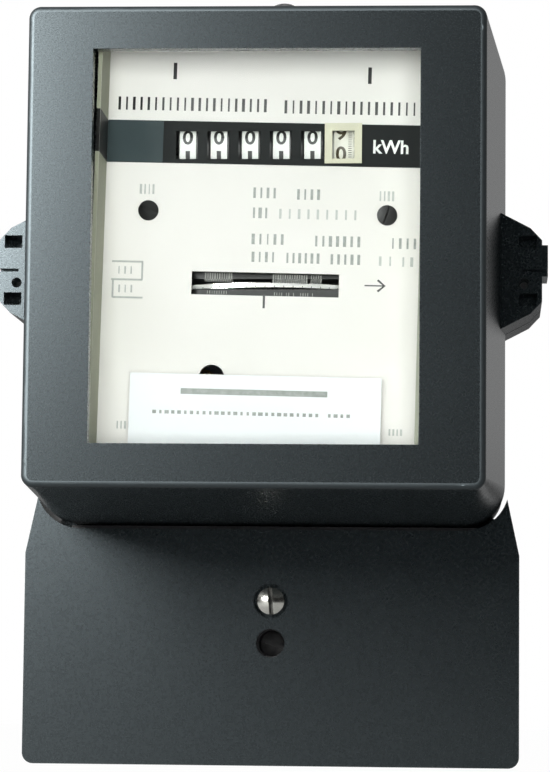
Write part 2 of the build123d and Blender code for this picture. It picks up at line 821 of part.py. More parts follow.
def magnet_bottom():
    return disc_z - magnet_below


def magnet_tab_z():
    return magnet_bottom() - bracket_thick - magnet_tab_drop


def movement_frame():
    """A cast plate on four legs, slotted for the disc, with an arm for each bearing."""
    body = block(-frame_half_width, frame_half_width, frame_rear, frame_front, -frame_half_height, frame_half_height)
    body -= block(rotor_x - disc_r - 3, rotor_x + disc_r + 3, frame_rear - 1, frame_front + 1,
                  disc_z - disc_slot / 2, disc_z + disc_slot / 2)
    for low, high in (lower_arm_z, upper_arm_z):
        body += block(rotor_x - arm_half, rotor_x + arm_half, frame_rear, rotor_depth + arm_half, low, high)
    body -= rod_z(bearing_r, rotor_x, rotor_depth, lower_arm_z[0] - 1, lower_arm_z[1] + 1)
    body -= rod_z(bearing_r, rotor_x, rotor_depth, upper_arm_z[0] - 1, upper_arm_z[1] + 1)
    for x in (-leg_x, leg_x):
        for z in (-leg_z, leg_z):
            body += rod_y(leg_r, x, z, boss_height, frame_rear + 1)
            body -= rod_y(frame_screw_r + seat_gap, x, z, boss_height - 1, frame_front + 1)
    for x, z in core_screw_places():
        body += rod_y(core_boss_r, x, z, core_front, frame_rear + 1)
        body -= rod_y(core_screw_r + seat_gap, x, z, core_front - 1, frame_front + 1)
    for x, z in small_screw_places():
        body -= rod_y(small_screw_r + seat_gap, x, z, frame_rear - 1, frame_front + 1)
    body -= rod_y(small_screw_r + seat_gap, lever_x, lever_z, frame_rear - 1, frame_front + 1)
    return body


def frame_screws():
    return [slotted_screw(frame_screw_r, frame_screw_head_r, frame_screw_head, x, z, frame_screw_tip, frame_front)
            for x in (-leg_x, leg_x) for z in (-leg_z, leg_z)]


def core_screws():
    """Long screws through the laminations, each with a nut behind."""
    screws = []
    for x, z in core_screw_places():
        screw = slotted_screw(core_screw_r, small_head_r, small_head, x, z, core_rear - nut_thick - 1, frame_front)
        nut = slab(Pos(x, z) * RegularPolygon(nut_r, 6), core_rear - nut_thick, core_rear)
        nut -= rod_y(core_screw_r + seat_gap, x, z, core_rear - nut_thick - 1, core_rear + 1)
        screws += [screw, nut]
    return screws


def movement_screws():
    """The same small screw holds the register, the magnet bracket, the dial arms and the lever."""
    screws = []
    for x, z in small_screw_places():
        seat = frame_front + dial_arm_thick
        if z == magnet_tab_z():
            seat = frame_front + bracket_thick
        screws.append(slotted_screw(small_screw_r, small_head_r, small_head, x, z, frame_rear - 1, seat))
    seat = frame_front + lever_screw_lift + lever_thick + 0.05
    screws.append(slotted_screw(small_screw_r, small_head_r, small_head, lever_x, lever_z, frame_rear - 1, seat))
    return screws


# ---------------------------------------------------------------- electromagnets

def voltage_core():
    """The laminated E above the disc: a middle pole and two limbs turned in towards it."""
    outline = Pos(rotor_x, (voltage_core_top + voltage_window_top) / 2) * Rectangle(
        2 * voltage_core_half, voltage_core_top - voltage_window_top)
    limb_bottom = voltage_pole_z + air_gap
    for side in (-1, 1):
        middle = rotor_x + side * (voltage_limb_in + voltage_core_half) / 2
        outline += Pos(middle, (limb_bottom + voltage_window_top) / 2) * Rectangle(
            voltage_core_half - voltage_limb_in, voltage_window_top - limb_bottom)
        tip_middle = rotor_x + side * (voltage_tip_in + voltage_core_half) / 2
        outline += Pos(tip_middle, (limb_bottom + voltage_window_bottom) / 2) * Rectangle(
            voltage_core_half - voltage_tip_in, voltage_window_bottom - limb_bottom)
    outline += Pos(rotor_x, (voltage_pole_z + voltage_window_top) / 2) * Rectangle(
        2 * voltage_pole_half, voltage_window_top - voltage_pole_z)
    for x, z in core_screw_places()[:2]:
        outline -= Pos(x, z) * Circle(core_screw_r + seat_gap)
    return slab(outline, core_rear, core_front)


def ring_around(x, half_in, half_out, stack_in, stack_out, z_low, z_high, corner):
    """A rectangular ring around an upright limb, with rounded outer corners."""
    outer = RectangleRounded(2 * half_out, 2 * stack_out, corner)
    inner = Rectangle(2 * half_in, 2 * stack_in)
    ring = extrude(Plane.XY.offset(z_low) * (outer - inner), amount=z_high - z_low)
    return Pos(x, -core_middle, 0) * ring


def voltage_bobbin():
    """A moulded former: a sleeve on the middle pole with a flange at each end."""
    sleeve_in = voltage_pole_half + free_gap / 2
    stack_in = core_stack / 2 + free_gap / 2
    sleeve_out = sleeve_in + bobbin_wall
    stack_out = stack_in + bobbin_wall
    low = voltage_window_bottom + free_gap
    high = voltage_window_top - free_gap
    former = ring_around(rotor_x, sleeve_in, sleeve_out, stack_in, stack_out, low, high, 0.8)
    flange_half = voltage_limb_in - free_gap
    flange_stack = frame_rear - core_middle - free_gap
    for bottom in (low, high - bobbin_wall):
        former += ring_around(rotor_x, sleeve_in, flange_half, stack_in, flange_stack, bottom, bottom + bobbin_wall, 2)
    return former


def voltage_coil():
    """Many turns of fine wire, taped over."""
    sleeve_out = voltage_pole_half + free_gap / 2 + bobbin_wall + seat_gap
    stack_out = core_stack / 2 + free_gap / 2 + bobbin_wall + seat_gap
    low = voltage_window_bottom + free_gap + bobbin_wall + seat_gap
    high = voltage_window_top - free_gap - bobbin_wall - seat_gap
    coil_half = voltage_limb_in - 2 * free_gap
    return ring_around(rotor_x, sleeve_out, coil_half, stack_out, stack_out + coil_build - bobbin_wall, low, high, 3)


def current_core():
    """The laminated U below the disc."""
    outline = Pos(rotor_x, (current_core_bottom + current_limb_bottom) / 2) * Rectangle(
        2 * current_limb_out, current_limb_bottom - current_core_bottom)
    for side in (-1, 1):
        middle = rotor_x + side * (current_limb_in + current_limb_out) / 2
        outline += Pos(middle, (current_limb_bottom + current_pole_z) / 2) * Rectangle(
            current_limb_out - current_limb_in, current_pole_z - current_limb_bottom)
    for x, z in core_screw_places()[2:]:
        outline -= Pos(x, z) * Circle(core_screw_r + seat_gap)
    return slab(outline, core_rear, core_front)


def current_coils():
    """A few turns of thick wire on each limb of the U."""
    half_in = (current_limb_out - current_limb_in) / 2 + free_gap / 2
    stack_in = core_stack / 2 + free_gap / 2
    coils = []
    for side in (-1, 1):
        x = rotor_x + side * (current_limb_in + current_limb_out) / 2
        coils.append(ring_around(x, half_in, half_in + coil_build - 0.5, stack_in, stack_in + coil_build - 0.5,
                                 current_coil_bottom, current_coil_top, 2.5))
    return coils


def round_wire(radius, bend, *points):
    """Straight runs joined by arcs, made solid."""
    path = FilletPolyline(*points, radius=bend)
    section = Plane(origin=path @ 0, z_dir=path % 0) * Circle(radius)
    return sweep(section, path=path)


def current_leads():
    """Bare copper from the two supply terminals to the coils, and between the coils."""
    coil_half = (current_limb_out - current_limb_in) / 2 + free_gap / 2 + coil_build - 0.5
    left_coil = rotor_x - (current_limb_in + current_limb_out) / 2
    right_coil = rotor_x + (current_limb_in + current_limb_out) / 2
    start_y = -wire_bore_depth
    middle_y = -core_middle
    left_x = left_coil - left_lead_out
    left = round_wire(current_lead_r, current_lead_bend,
                      (terminal_x[0], start_y, terminal_body_top),
                      (terminal_x[0], start_y, left_lead_turn),
                      (left_x, middle_y, current_lead_knee),
                      (left_x, middle_y, current_lead_top),
                      (left_coil - coil_half, middle_y, current_lead_top))
    right_x = right_coil + right_lead_out[1]
    right = round_wire(current_lead_r, current_lead_bend,
                       (terminal_x[1], start_y, terminal_body_top),
                       (terminal_x[1], start_y, right_lead_turn),
                       (terminal_x[1] + right_lead_step, start_y, right_lead_run),
                       (right_coil + right_lead_out[0], start_y, right_lead_run),
                       (right_x, middle_y, current_lead_knee),
                       (right_x, middle_y, current_lead_top),
                       (right_coil + coil_half, middle_y, current_lead_top))
    bridge = rod_x(current_lead_r, core_middle, bridge_z, left_coil + coil_half, right_coil - coil_half)
    return [left, right, bridge]


def voltage_leads():
    """Two thin covered wires up behind the cores to the back of the voltage coil."""
    stack = core_stack / 2 + free_gap / 2 + seat_gap + coil_build
    coil_back = -(core_middle - stack)
    leads = []
    for side, top in zip((-1, 1), voltage_lead_top):
        start_x = side * voltage_lead_x
        run_x = side * voltage_lead_run_x
        end_x = side * voltage_lead_coil_x
        leads.append(round_wire(voltage_lead_r, voltage_lead_bend,
                                (start_x, -voltage_lead_depth, block_top - voltage_lead_in),
                                (start_x, -voltage_lead_depth, voltage_lead_jog[0]),
                                (run_x, -voltage_lead_depth, voltage_lead_jog[1]),
                                (run_x, -voltage_lead_depth, top),
                                (end_x, -voltage_lead_depth, top),
                                (end_x, coil_back, top)))
    return leads


# ---------------------------------------------------------------- brake magnet and lever

def brake_magnet():
    """A C of cast magnet alloy that holds the disc's edge in its gap."""
    body = block(magnet_x[0], magnet_x[1], magnet_depth[0], magnet_depth[1], magnet_bottom(), disc_z + magnet_above)
    upright = [edge for edge in body.edges().filter_by(Axis.Z)]
    body = fillet(upright, 2)
    body -= block(magnet_x[0] - 1, magnet_slot_end, magnet_depth[0] - 1, magnet_depth[1] + 1,
                  disc_z - magnet_slot / 2, disc_z + magnet_slot / 2)
    body -= rod_z(small_screw_r + seat_gap, (magnet_x[0] + magnet_x[1]) / 2, sum(magnet_depth) / 2,
                  magnet_bottom() - 1, magnet_bottom() + magnet_screw_long + 1)
    return body


def magnet_bracket():
    """A bent steel strap under the magnet, screwed to the frame."""
    top = magnet_bottom()
    tab_bottom = magnet_tab_z() - magnet_tab_margin
    sole = block(magnet_x[0] + 1, magnet_x[1] - 1, frame_front, magnet_depth[1], top - bracket_thick, top)
    tab = block(magnet_x[0] + 1, magnet_x[1] - 1, frame_front, frame_front + bracket_thick, tab_bottom, top)
    strap = sole + tab
    for x, z in small_screw_places()[2:4]:
        strap -= rod_y(small_screw_r + seat_gap, x, z, frame_front - 1, frame_front + bracket_thick + 1)
    strap -= rod_z(small_screw_r + seat_gap, (magnet_x[0] + magnet_x[1]) / 2, sum(magnet_depth) / 2,
                   top - bracket_thick - 1, top + 1)
    return strap


def magnet_screw():
    """Comes up through the strap into the magnet."""
    x = (magnet_x[0] + magnet_x[1]) / 2
    depth = sum(magnet_depth) / 2
    seat = magnet_bottom() - bracket_thick
    screw = rod_z(small_screw_r, x, depth, seat - small_head / 2, magnet_bottom() + magnet_screw_long)
    screw += rod_z(small_head_r, x, depth, seat - small_head, seat)
    return screw


def low_load_lever():
    """A pressed pointer that turns a few degrees about its screw to trim the light load."""
    start = frame_front + lever_screw_lift
    outline = Pos(lever_x, lever_z) * Circle(lever_width / 2)
    outline += Pos(lever_x + lever_length / 2, lever_z) * Rectangle(lever_length, lever_width * 0.6)
    tip = lever_x + lever_length
    outline += make_face(Polyline((tip - 0.01, lever_z + lever_width * 0.3), (tip + 4, lever_z),
                                  (tip - 0.01, lever_z - lever_width * 0.3), close=True))
    outline -= Pos(lever_x, lever_z) * Circle(small_screw_r + running_gap)
    return slab(outline, start, start + lever_thick)


# ---------------------------------------------------------------- rotor

def rotor_disc():
    """The aluminium disc with its pressed hub and two small anti-creep holes."""
    disc = rod_z(disc_r, rotor_x, rotor_depth, disc_z - disc_thick / 2, disc_z + disc_thick / 2)
    disc += rod_z(disc_hub_r, rotor_x, rotor_depth, disc_z - disc_hub / 2, disc_z + disc_hub / 2)
    disc -= rod_z(spindle_r + seat_gap, rotor_x, rotor_depth, disc_z - disc_hub, disc_z + disc_hub)
    for side in (-1, 1):
        disc -= rod_z(creep_hole_r, rotor_x + side * creep_hole_x, rotor_depth, disc_z - 2, disc_z + 2)
    return disc


def spindle():
    """A steel spindle with a turned pivot at each end."""
    shaft = rod_z(spindle_r, rotor_x, rotor_depth, spindle_bottom, spindle_top)
    shaft += rod_z(pivot_r, rotor_x, rotor_depth, spindle_bottom - bearing_bore, spindle_bottom + 1)
    shaft += rod_z(pivot_r, rotor_x, rotor_depth, spindle_top - 1, spindle_top + bearing_bore)
    return shaft


def worm():
    """A one-start right-hand brass worm pressed on the spindle."""
    length = worm_turns * worm_pitch
    bottom = worm_z - length / 2
    core = Cylinder(worm_root_r, length + 3)
    helix = Helix(pitch=worm_pitch, height=length, radius=worm_root_r - 0.05)
    helix = Pos(0, 0, -length / 2) * helix
    tooth_high = worm_tip_r - worm_root_r + 0.05
    start = helix @ 0
    section_plane = Plane(origin=start, x_dir=Vector(start.X, start.Y, 0), z_dir=helix % 0)
    section = section_plane * make_face(Polyline((0, -thread_root_half), (tooth_high, -thread_tip_half),
                                                 (tooth_high, thread_tip_half), (0, thread_root_half), close=True))
    thread = sweep(section, path=helix, is_frenet=True)
    body = core + thread
    body -= Cylinder(spindle_r + seat_gap, 4 * length)
    # turned back a quarter so that a gap of the thread lies level with the wheel's middle
    return Pos(rotor_x, -rotor_depth, worm_z) * Rot(0, 0, -90) * body


def bearing(z_low, z_high, pivot_low, pivot_high):
    """A pressed brass bush with the pivot's hole in its inner end."""
    bush = rod_z(bearing_r - seat_gap, rotor_x, rotor_depth, z_low, z_high)
    return bush - rod_z(pivot_r + running_gap, rotor_x, rotor_depth, pivot_low, pivot_high)


# ---------------------------------------------------------------- register

def train_angles():
    """Tooth angles that put every pair in mesh at rest."""
    to_idler = direction(wheel_depth, worm_z, idler_depth, idler_z)
    to_drum = direction(idler_depth, idler_z, drum_axis_depth, drum_axis_z)
    wheel_pinion = to_idler
    idler_gear = to_idler + 180 + 180 / stage_one_gear
    idler_pinion = to_drum
    drum_gear = to_drum + 180 + 180 / stage_two_gear
    return wheel_pinion, idler_gear, idler_pinion, drum_gear


def worm_wheel():
    """A tooth points straight back, into a gap of the worm's thread."""
    outline = gear_outline(worm_module, wheel_teeth, 0, thickness=0.38)
    return gear_across(outline, wheel_depth, worm_z, rotor_x - wheel_width / 2, rotor_x + wheel_width / 2,
                       train_shaft_r + seat_gap)


def wheel_shaft():
    """The worm wheel's shaft with the first pinion turned on it."""
    outline = gear_outline(stage_one_module, stage_one_pinion, train_angles()[0])
    pinion = gear_across(outline, wheel_depth, worm_z, idler_gear_x - 0.3, idler_gear_x + gear_width + 0.3,
                         train_shaft_r * 0.5)
    return pinion + rod_x(train_shaft_r, wheel_depth, worm_z, wheel_shaft_start, wheel_shaft_end)


def idler_gear():
    outline = gear_outline(stage_one_module, stage_one_gear, train_angles()[1])
    return gear_across(outline, idler_depth, idler_z, idler_gear_x, idler_gear_x + gear_width,
                       train_shaft_r + seat_gap)


def idler_shaft():
    """The idler's shaft with the second pinion turned on it."""
    outline = gear_outline(stage_two_module, stage_two_pinion, train_angles()[2])
    pinion = gear_across(outline, idler_depth, idler_z, drum_gear_x + 0.2, drum_gear_x + pinion_width,
                         train_shaft_r * 0.5)
    return pinion + rod_x(train_shaft_r, idler_depth, idler_z, wheel_shaft_start, wheel_shaft_end)


def number_drum(place):
    """A hollow drum; its right side carries a gear, its left side a two-tooth carry disc."""
    x = drum_centre(place)
    low = x - drum_rim / 2
    high = x + drum_rim / 2
    bore_r = drum_shaft_r + running_gap
    drum = rod_x(drum_r, drum_axis_depth, drum_axis_z, low, high)
    drum -= rod_x(drum_r - drum_wall, drum_axis_depth, drum_axis_z, low + drum_wall, high - drum_wall)
    drum += rod_x(drum_hub_r, drum_axis_depth, drum_axis_z, low, high)
    if place == 0:
        outline = gear_outline(stage_two_module, stage_two_gear, train_angles()[3])
        drum += gear_across(outline, drum_axis_depth, drum_axis_z, high, high + gear_width, bore_r)
    else:
        outline = gear_outline(carry_module, carry_gear_teeth, carry_angle + 180 / carry_gear_teeth)
        drum += gear_across(outline, drum_axis_depth, drum_axis_z, high, high + carry_gear_width, bore_r)
    if place < drum_count - 1:
        drum += rod_x(carry_disc_r, drum_axis_depth, drum_axis_z, low - carry_disc_width, low)
        tooth_angle = math.radians(carry_angle + 180)
        for step in (-0.5, 0.5):
            angle = tooth_angle + step * 2 * math.pi / carry_gear_teeth
            tooth = Pos(carry_disc_r + carry_tooth_out, 0) * Rectangle(carry_tooth_long, carry_tooth_wide)
            tooth = extrude(Plane.YZ * tooth, amount=carry_disc_width).rotate(Axis.X, math.degrees(angle))
            drum += Pos(low - carry_disc_width, -drum_axis_depth, drum_axis_z) * tooth
    return drum - rod_x(bore_r, drum_axis_depth, drum_axis_z, low - 3, high + 3)


def transfer_pinion(place):
    """Carries from one drum to the next higher one, in the gap between their rims."""
    low = drum_centre(place) - drum_pitch + drum_rim / 2 + 0.2
    high = drum_centre(place) - drum_rim / 2 - 0.2
    outline = gear_outline(carry_module, carry_pinion_teeth, carry_angle + 180)
    return gear_across(outline, carry_depth, carry_z, low, high, pinion_shaft_r + running_gap)


def register_frame():
    """A folded steel frame: a sole and two cheeks drilled for the four shafts."""
    right = right_cheek_x + cheek_thick
    frame = block(left_cheek_x, right, cheek_rear, cheek_front, sole_z, sole_z + cheek_thick)
    for x in (left_cheek_x, right_cheek_x):
        cheek = block(x, x + cheek_thick, cheek_rear, cheek_front, sole_z, cheek_top)
        frame += cheek
    for low, high in ((left_cheek_x, left_cheek_x + register_foot_width), (right - register_foot_width, right)):
        frame += block(low, high, frame_front, cheek_rear + 1, sole_z, sole_z + cheek_thick)
        frame += block(low, high, frame_front, frame_front + cheek_thick, sole_z, sole_z + register_foot_high)
    frame -= rod_x(drum_shaft_r + seat_gap, drum_axis_depth, drum_axis_z, left_cheek_x - 1, right + 1)
    frame -= rod_x(pinion_shaft_r + seat_gap, carry_depth, carry_z, left_cheek_x - 1, right + 1)
    frame -= rod_x(train_shaft_r + running_gap, wheel_depth, worm_z, left_cheek_x - 1, right + 1)
    frame -= rod_x(train_shaft_r + running_gap, idler_depth, idler_z, left_cheek_x - 1, right + 1)
    for x, z in small_screw_places()[:2]:
        frame -= rod_y(small_screw_r + seat_gap, x, z, frame_front - 1, frame_front + cheek_thick + 1)
    return frame


# ---------------------------------------------------------------- dial

def dial_arms():
    """A bent arm at each side carries the dial plate from the movement frame."""
    arms = []
    low, high = dial_arm_z
    for side, screw_u in zip((-1, 1), plate_screw_u):
        def strip(x_near, x_far, start, end, z_low, z_high):
            return block(min(side * x_near, side * x_far), max(side * x_near, side * x_far), start, end, z_low, z_high)
        outer = dial_arm_x + dial_arm_thick
        arm = strip(dial_arm_x, outer, frame_front, plate_back, low, high)
        arm += strip(dial_arm_x - dial_arm_foot, outer, frame_front, frame_front + dial_arm_thick, low, high)
        arm += strip(dial_tab_in, outer, plate_back - dial_arm_thick, plate_back, dial_tab_z[0], dial_tab_z[1])
        x, z = on_dial(screw_u, plate_screw_w)
        arm -= rod_y(small_screw_r + seat_gap, x, z, plate_back - 3, plate_back + 1)
        for x, z in small_screw_places()[4:]:
            arm -= rod_y(small_screw_r + seat_gap, x, z, frame_front - 1, frame_front + dial_arm_thick + 1)
        arms.append(arm)
    return arms


def dial_plate():
    """A painted sheet with its two long edges folded forward towards the window."""
    height = plate_top - plate_bottom
    middle = (plate_top + plate_bottom) / 2
    sheet = slab(Pos(0, middle) * Rectangle(2 * plate_half, height), plate_back, plate_depth)
    for side in (-1, 1):
        edge = side * (plate_half - flange_thick / 2)
        sheet += slab(Pos(edge, middle) * Rectangle(flange_thick, height), plate_back, plate_depth + flange_reach)
    slot = Pos(slot_centre_u, slot_centre_w) * Rectangle(slot_width, slot_height)
    sheet -= slab(slot, plate_back - 1, plate_depth + 1)
    sheet -= rod_y(sight_hole_r, sight_hole_u, sight_hole_w, plate_back - 1, plate_depth + 1)
    for u in plate_screw_u:
        sheet -= rod_y(small_screw_r + 0.3, u, plate_screw_w, plate_back - 1, plate_depth + 1)
    sheet = tilted(sheet)
    for place in range(drum_count):
        sheet -= drum_opening(place, 0.5)
    return sheet


def drum_opening(place, extra):
    """The hole in front of one drum; the openings stay level while the plate tilts."""
    width = drum_window_width + 2 * extra
    height = drum_window_height + 2 * extra
    window = Pos(drum_centre(place), drum_axis_z) * Rectangle(width, height)
    return slab(window, plate_back - 1, band_front + frame_piece_thick + 1)


def dial_plate_screws():
    """Black pan heads in front of the plate, screwed into the arms' tabs."""
    screws = []
    for u in plate_screw_u:
        x, z = on_dial(u, plate_screw_w)
        screws.append(slotted_screw(small_screw_r, plate_screw_head_r, plate_screw_head, x, z,
                                    plate_back - 2.2, plate_depth + 0.02))
    return screws


def register_mask():
    """The black band across the plate, pierced once for each drum."""
    middle = (band_top + band_bottom) / 2
    band = Pos(0, middle) * Rectangle(2 * (plate_half - flange_thick) - 0.4, band_top - band_bottom)
    mask = tilted(slab(band, plate_depth, band_front))
    for place in range(drum_count):
        mask -= drum_opening(place, 0)
    return mask


def decimal_frame():
    """The cream frame that sets the last place apart."""
    ring = Pos(drum_centre(0), drum_axis_z + 0.4) * Rectangle(frame_piece_width, frame_piece_height)
    plate = slab(ring, band_front, band_front + frame_piece_thick)
    return plate - drum_opening(0, 0)


def label_plate():
    """A white plate on two posts in front of the dial's foot."""
    u_middle = sum(label_u) / 2
    w_middle = sum(label_w) / 2
    card = Pos(u_middle, w_middle) * Rectangle(label_u[1] - label_u[0], label_w[1] - label_w[0])
    front = plate_depth + label_standoff + label_thick
    plate = slab(card, front - label_thick, front)
    for u in (label_u[0] + label_post_in, label_u[1] - label_post_in):
        plate += rod_y(post_r, u, w_middle, plate_depth, front - label_thick / 2)
    return tilted(plate)


# ---------------------------------------------------------------- write every node

os.makedirs("parts", exist_ok=True)

save("base_housing", base_housing())
save("hanging_lug", hanging_lug())
save("lug_rivets", *lug_rivets())
save("cover_gasket", cover_gasket())
save("meter_cover", meter_cover())
save("cover_seal_screws", *cover_seal_screws())
save("window_glass", window_glass())
save("glass_seal", glass_seal())
save("glass_clips", *glass_clips())

save("terminal_cover", terminal_cover())
save("terminal_cover_screw", terminal_cover_screw())
save("terminal_block", terminal_block())
save("terminal_bodies", *terminal_bodies())
save("terminal_screws", *terminal_screws())
save("block_screw", block_screw())
save("voltage_link", voltage_link())
save("link_screw", link_screw())

save("movement_frame", movement_frame())
save("frame_screws", *frame_screws())
save("core_screws", *core_screws())
save("movement_screws", *movement_screws(), magnet_screw())
save("voltage_core", voltage_core())
save("voltage_bobbin", voltage_bobbin())
save("voltage_coil", voltage_coil())
save("current_core", current_core())
save("current_coils", *current_coils())
save("current_leads", *current_leads())
save("voltage_leads", *voltage_leads())
save("brake_magnet", brake_magnet())
save("magnet_bracket", magnet_bracket())
save("low_load_lever", low_load_lever())

save("rotor_disc", rotor_disc())
save("spindle", spindle())
save("worm", worm())
save("lower_bearing", bearing(lower_arm_z[0], lower_arm_z[1], spindle_bottom - bearing_bore - 0.2, lower_arm_z[1] + 1))
save("upper_bearing", bearing(upper_arm_z[0], upper_arm_z[1], upper_arm_z[0] - 1, spindle_top + bearing_bore + 0.2))

save("worm_wheel", worm_wheel())
save("wheel_shaft", wheel_shaft())
save("idler_gear", idler_gear())
save("idler_shaft", idler_shaft())
save("register_frame", register_frame())
save("drum_shaft", rod_x(drum_shaft_r, drum_axis_depth, drum_axis_z, wheel_shaft_start, wheel_shaft_end))
save("pinion_shaft", rod_x(pinion_shaft_r, carry_depth, carry_z, wheel_shaft_start, wheel_shaft_end))
for place in range(drum_count):
    save("number_drum_" + str(place + 1), number_drum(place))
for place in range(drum_count - 1):
    save("transfer_pinion_" + str(place + 1), transfer_pinion(place))

save("dial_arms", *dial_arms())
save("dial_plate", dial_plate())
save("dial_plate_screws", *dial_plate_screws())
save("register_mask", register_mask())
save("decimal_frame", decimal_frame())
save("label_plate", label_plate())
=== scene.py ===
import bpy, bmesh, math
from mathutils import Matrix, Vector
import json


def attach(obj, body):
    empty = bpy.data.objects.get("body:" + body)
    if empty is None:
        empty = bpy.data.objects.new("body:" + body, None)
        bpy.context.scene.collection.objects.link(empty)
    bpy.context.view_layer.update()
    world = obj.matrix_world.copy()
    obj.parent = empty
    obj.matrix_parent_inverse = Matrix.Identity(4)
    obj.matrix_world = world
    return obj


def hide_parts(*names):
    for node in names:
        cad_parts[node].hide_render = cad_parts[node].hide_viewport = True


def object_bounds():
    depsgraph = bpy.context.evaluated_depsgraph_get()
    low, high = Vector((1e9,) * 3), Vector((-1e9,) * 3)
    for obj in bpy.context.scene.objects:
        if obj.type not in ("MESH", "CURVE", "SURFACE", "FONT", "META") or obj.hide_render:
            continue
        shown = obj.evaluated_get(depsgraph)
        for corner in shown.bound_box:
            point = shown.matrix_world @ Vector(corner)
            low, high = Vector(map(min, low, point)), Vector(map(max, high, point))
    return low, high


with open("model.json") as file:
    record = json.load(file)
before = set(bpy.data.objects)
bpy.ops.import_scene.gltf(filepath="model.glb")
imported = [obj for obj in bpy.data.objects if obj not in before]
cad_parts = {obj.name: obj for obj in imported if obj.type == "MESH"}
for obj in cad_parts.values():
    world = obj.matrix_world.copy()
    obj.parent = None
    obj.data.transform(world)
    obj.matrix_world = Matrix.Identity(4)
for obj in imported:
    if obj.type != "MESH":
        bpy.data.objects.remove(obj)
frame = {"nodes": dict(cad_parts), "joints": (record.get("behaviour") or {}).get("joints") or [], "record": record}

cad_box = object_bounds()

# ---------------------------------------------------------------- base housing
# The back half of the case: a tray compression moulded in black phenolic, with two ears
# and a foot that carries the terminals. Its edges are eased by the mould, its faces are satin.


def feed(tree, kind, inputs=None, outlet=0, **settings):
    """Add one step to a tree; it is fed numbers or the results of earlier steps."""
    step = tree.nodes.new(kind)
    for key, value in settings.items():
        setattr(step, key, value)
    for key, value in (inputs or {}).items():
        if isinstance(value, bpy.types.NodeSocket):
            tree.links.new(value, step.inputs[key])
        else:
            step.inputs[key].default_value = value
    return step.outputs[outlet]


def finish(name, colour, other, patch=60.0, rough=(0.4, 0.5), metal=0.0, grain=1500.0, depth=0.000004,
           stretch=(1, 1, 1), ior=1.5, sheen_tint=(1, 1, 1)):
    """A surface: two colours in soft patches, a roughness that wanders, and a fine grain in relief."""
    material = bpy.data.materials.new(name)
    material.use_nodes = True
    tree = material.node_tree
    place = feed(tree, "ShaderNodeTexCoord", outlet="Object")
    place = feed(tree, "ShaderNodeMapping", {"Vector": place, "Scale": stretch})
    patches = feed(tree, "ShaderNodeTexNoise", {"Vector": place, "Scale": patch, "Detail": 5.0},
                   outlet="Fac")
    spread = feed(tree, "ShaderNodeMapRange", {"Value": patches, "From Min": 0.3, "From Max": 0.7})
    mixed = feed(tree, "ShaderNodeMix", {"Factor": spread, 6: (*colour, 1), 7: (*other, 1)}, outlet=2,
                 data_type="RGBA")
    fine = feed(tree, "ShaderNodeTexNoise", {"Vector": place, "Scale": grain, "Detail": 3.0}, outlet="Fac")
    wander = feed(tree, "ShaderNodeMapRange", {"Value": fine, "From Min": 0.35, "From Max": 0.65,
                                               "To Min": rough[0], "To Max": rough[1]})
    relief = feed(tree, "ShaderNodeBump", {"Height": fine, "Strength": 1.0, "Distance": depth})
    shader = tree.nodes["Principled BSDF"]
    shader.inputs["Metallic"].default_value = metal
    shader.inputs["IOR"].default_value = ior
    shader.inputs["Specular Tint"].default_value = (*sheen_tint, 1)
    for socket, value in (("Base Color", mixed), ("Roughness", wander), ("Normal", relief)):
        tree.links.new(value, shader.inputs[socket])
    return material


def wear(material, *nodes):
    """Give a finish to pieces of the model that keep their own shape."""
    for node in nodes:
        mesh = frame["nodes"][node].data
        mesh.materials.clear()
        mesh.materials.append(material)


same_corner = 0.000004               # corners closer than this are one
one_plane = math.radians(0.6)        # faces that turn less than this are one


def eased(node, material, width, angle=30.0, steps=2, edge_material=None):
    """The same shape with its edges eased and its curved faces smooth."""
    mesh = frame["nodes"][node].data.copy()
    piece = bpy.data.objects.new(node + "_eased", mesh)
    bpy.context.scene.collection.objects.link(piece)
    work = bmesh.new()
    work.from_mesh(mesh)
    bmesh.ops.remove_doubles(work, verts=work.verts, dist=same_corner)
    bmesh.ops.dissolve_limit(work, angle_limit=one_plane, verts=work.verts, edges=work.edges)
    for face in work.faces:
        face.smooth = True
    work.to_mesh(mesh)
    work.free()
    mesh.materials.clear()
    mesh.materials.append(material)
    if edge_material:
        mesh.materials.append(edge_material)
    round_edges = piece.modifiers.new("eased_edges", "BEVEL")
    round_edges.width = width
    round_edges.segments = steps
    round_edges.limit_method = "ANGLE"
    round_edges.angle_limit = math.radians(angle)
    round_edges.use_clamp_overlap = True
    round_edges.harden_normals = False
    round_edges.material = 1 if edge_material else -1
    even = piece.modifiers.new("even_shading", "WEIGHTED_NORMAL")
    even.keep_sharp = True
    even.weight = 60
    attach(piece, body_of_node[node])
    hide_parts(node)
    return piece


body_of_node = {node: body for body, nodes in frame["record"]["behaviour"]["bodies"].items()
                for node in nodes}
satin_black = finish("satin_black_moulding", (0.0030, 0.0042, 0.0048), (0.0042, 0.0056, 0.0062), patch=45,
                     rough=(0.265, 0.285), grain=1600, depth=0.0000015, ior=1.62,
                     sheen_tint=(0.80, 0.94, 0.99))
base = eased("base_housing", satin_black, width=0.0005)

# ---------------------------------------------------------------- hanging lug and gasket
# A strap of pressed steel, enamelled black, riveted to the back; a felt ring lies in the joint.
# The rivets are zinc plated steel with low round heads.


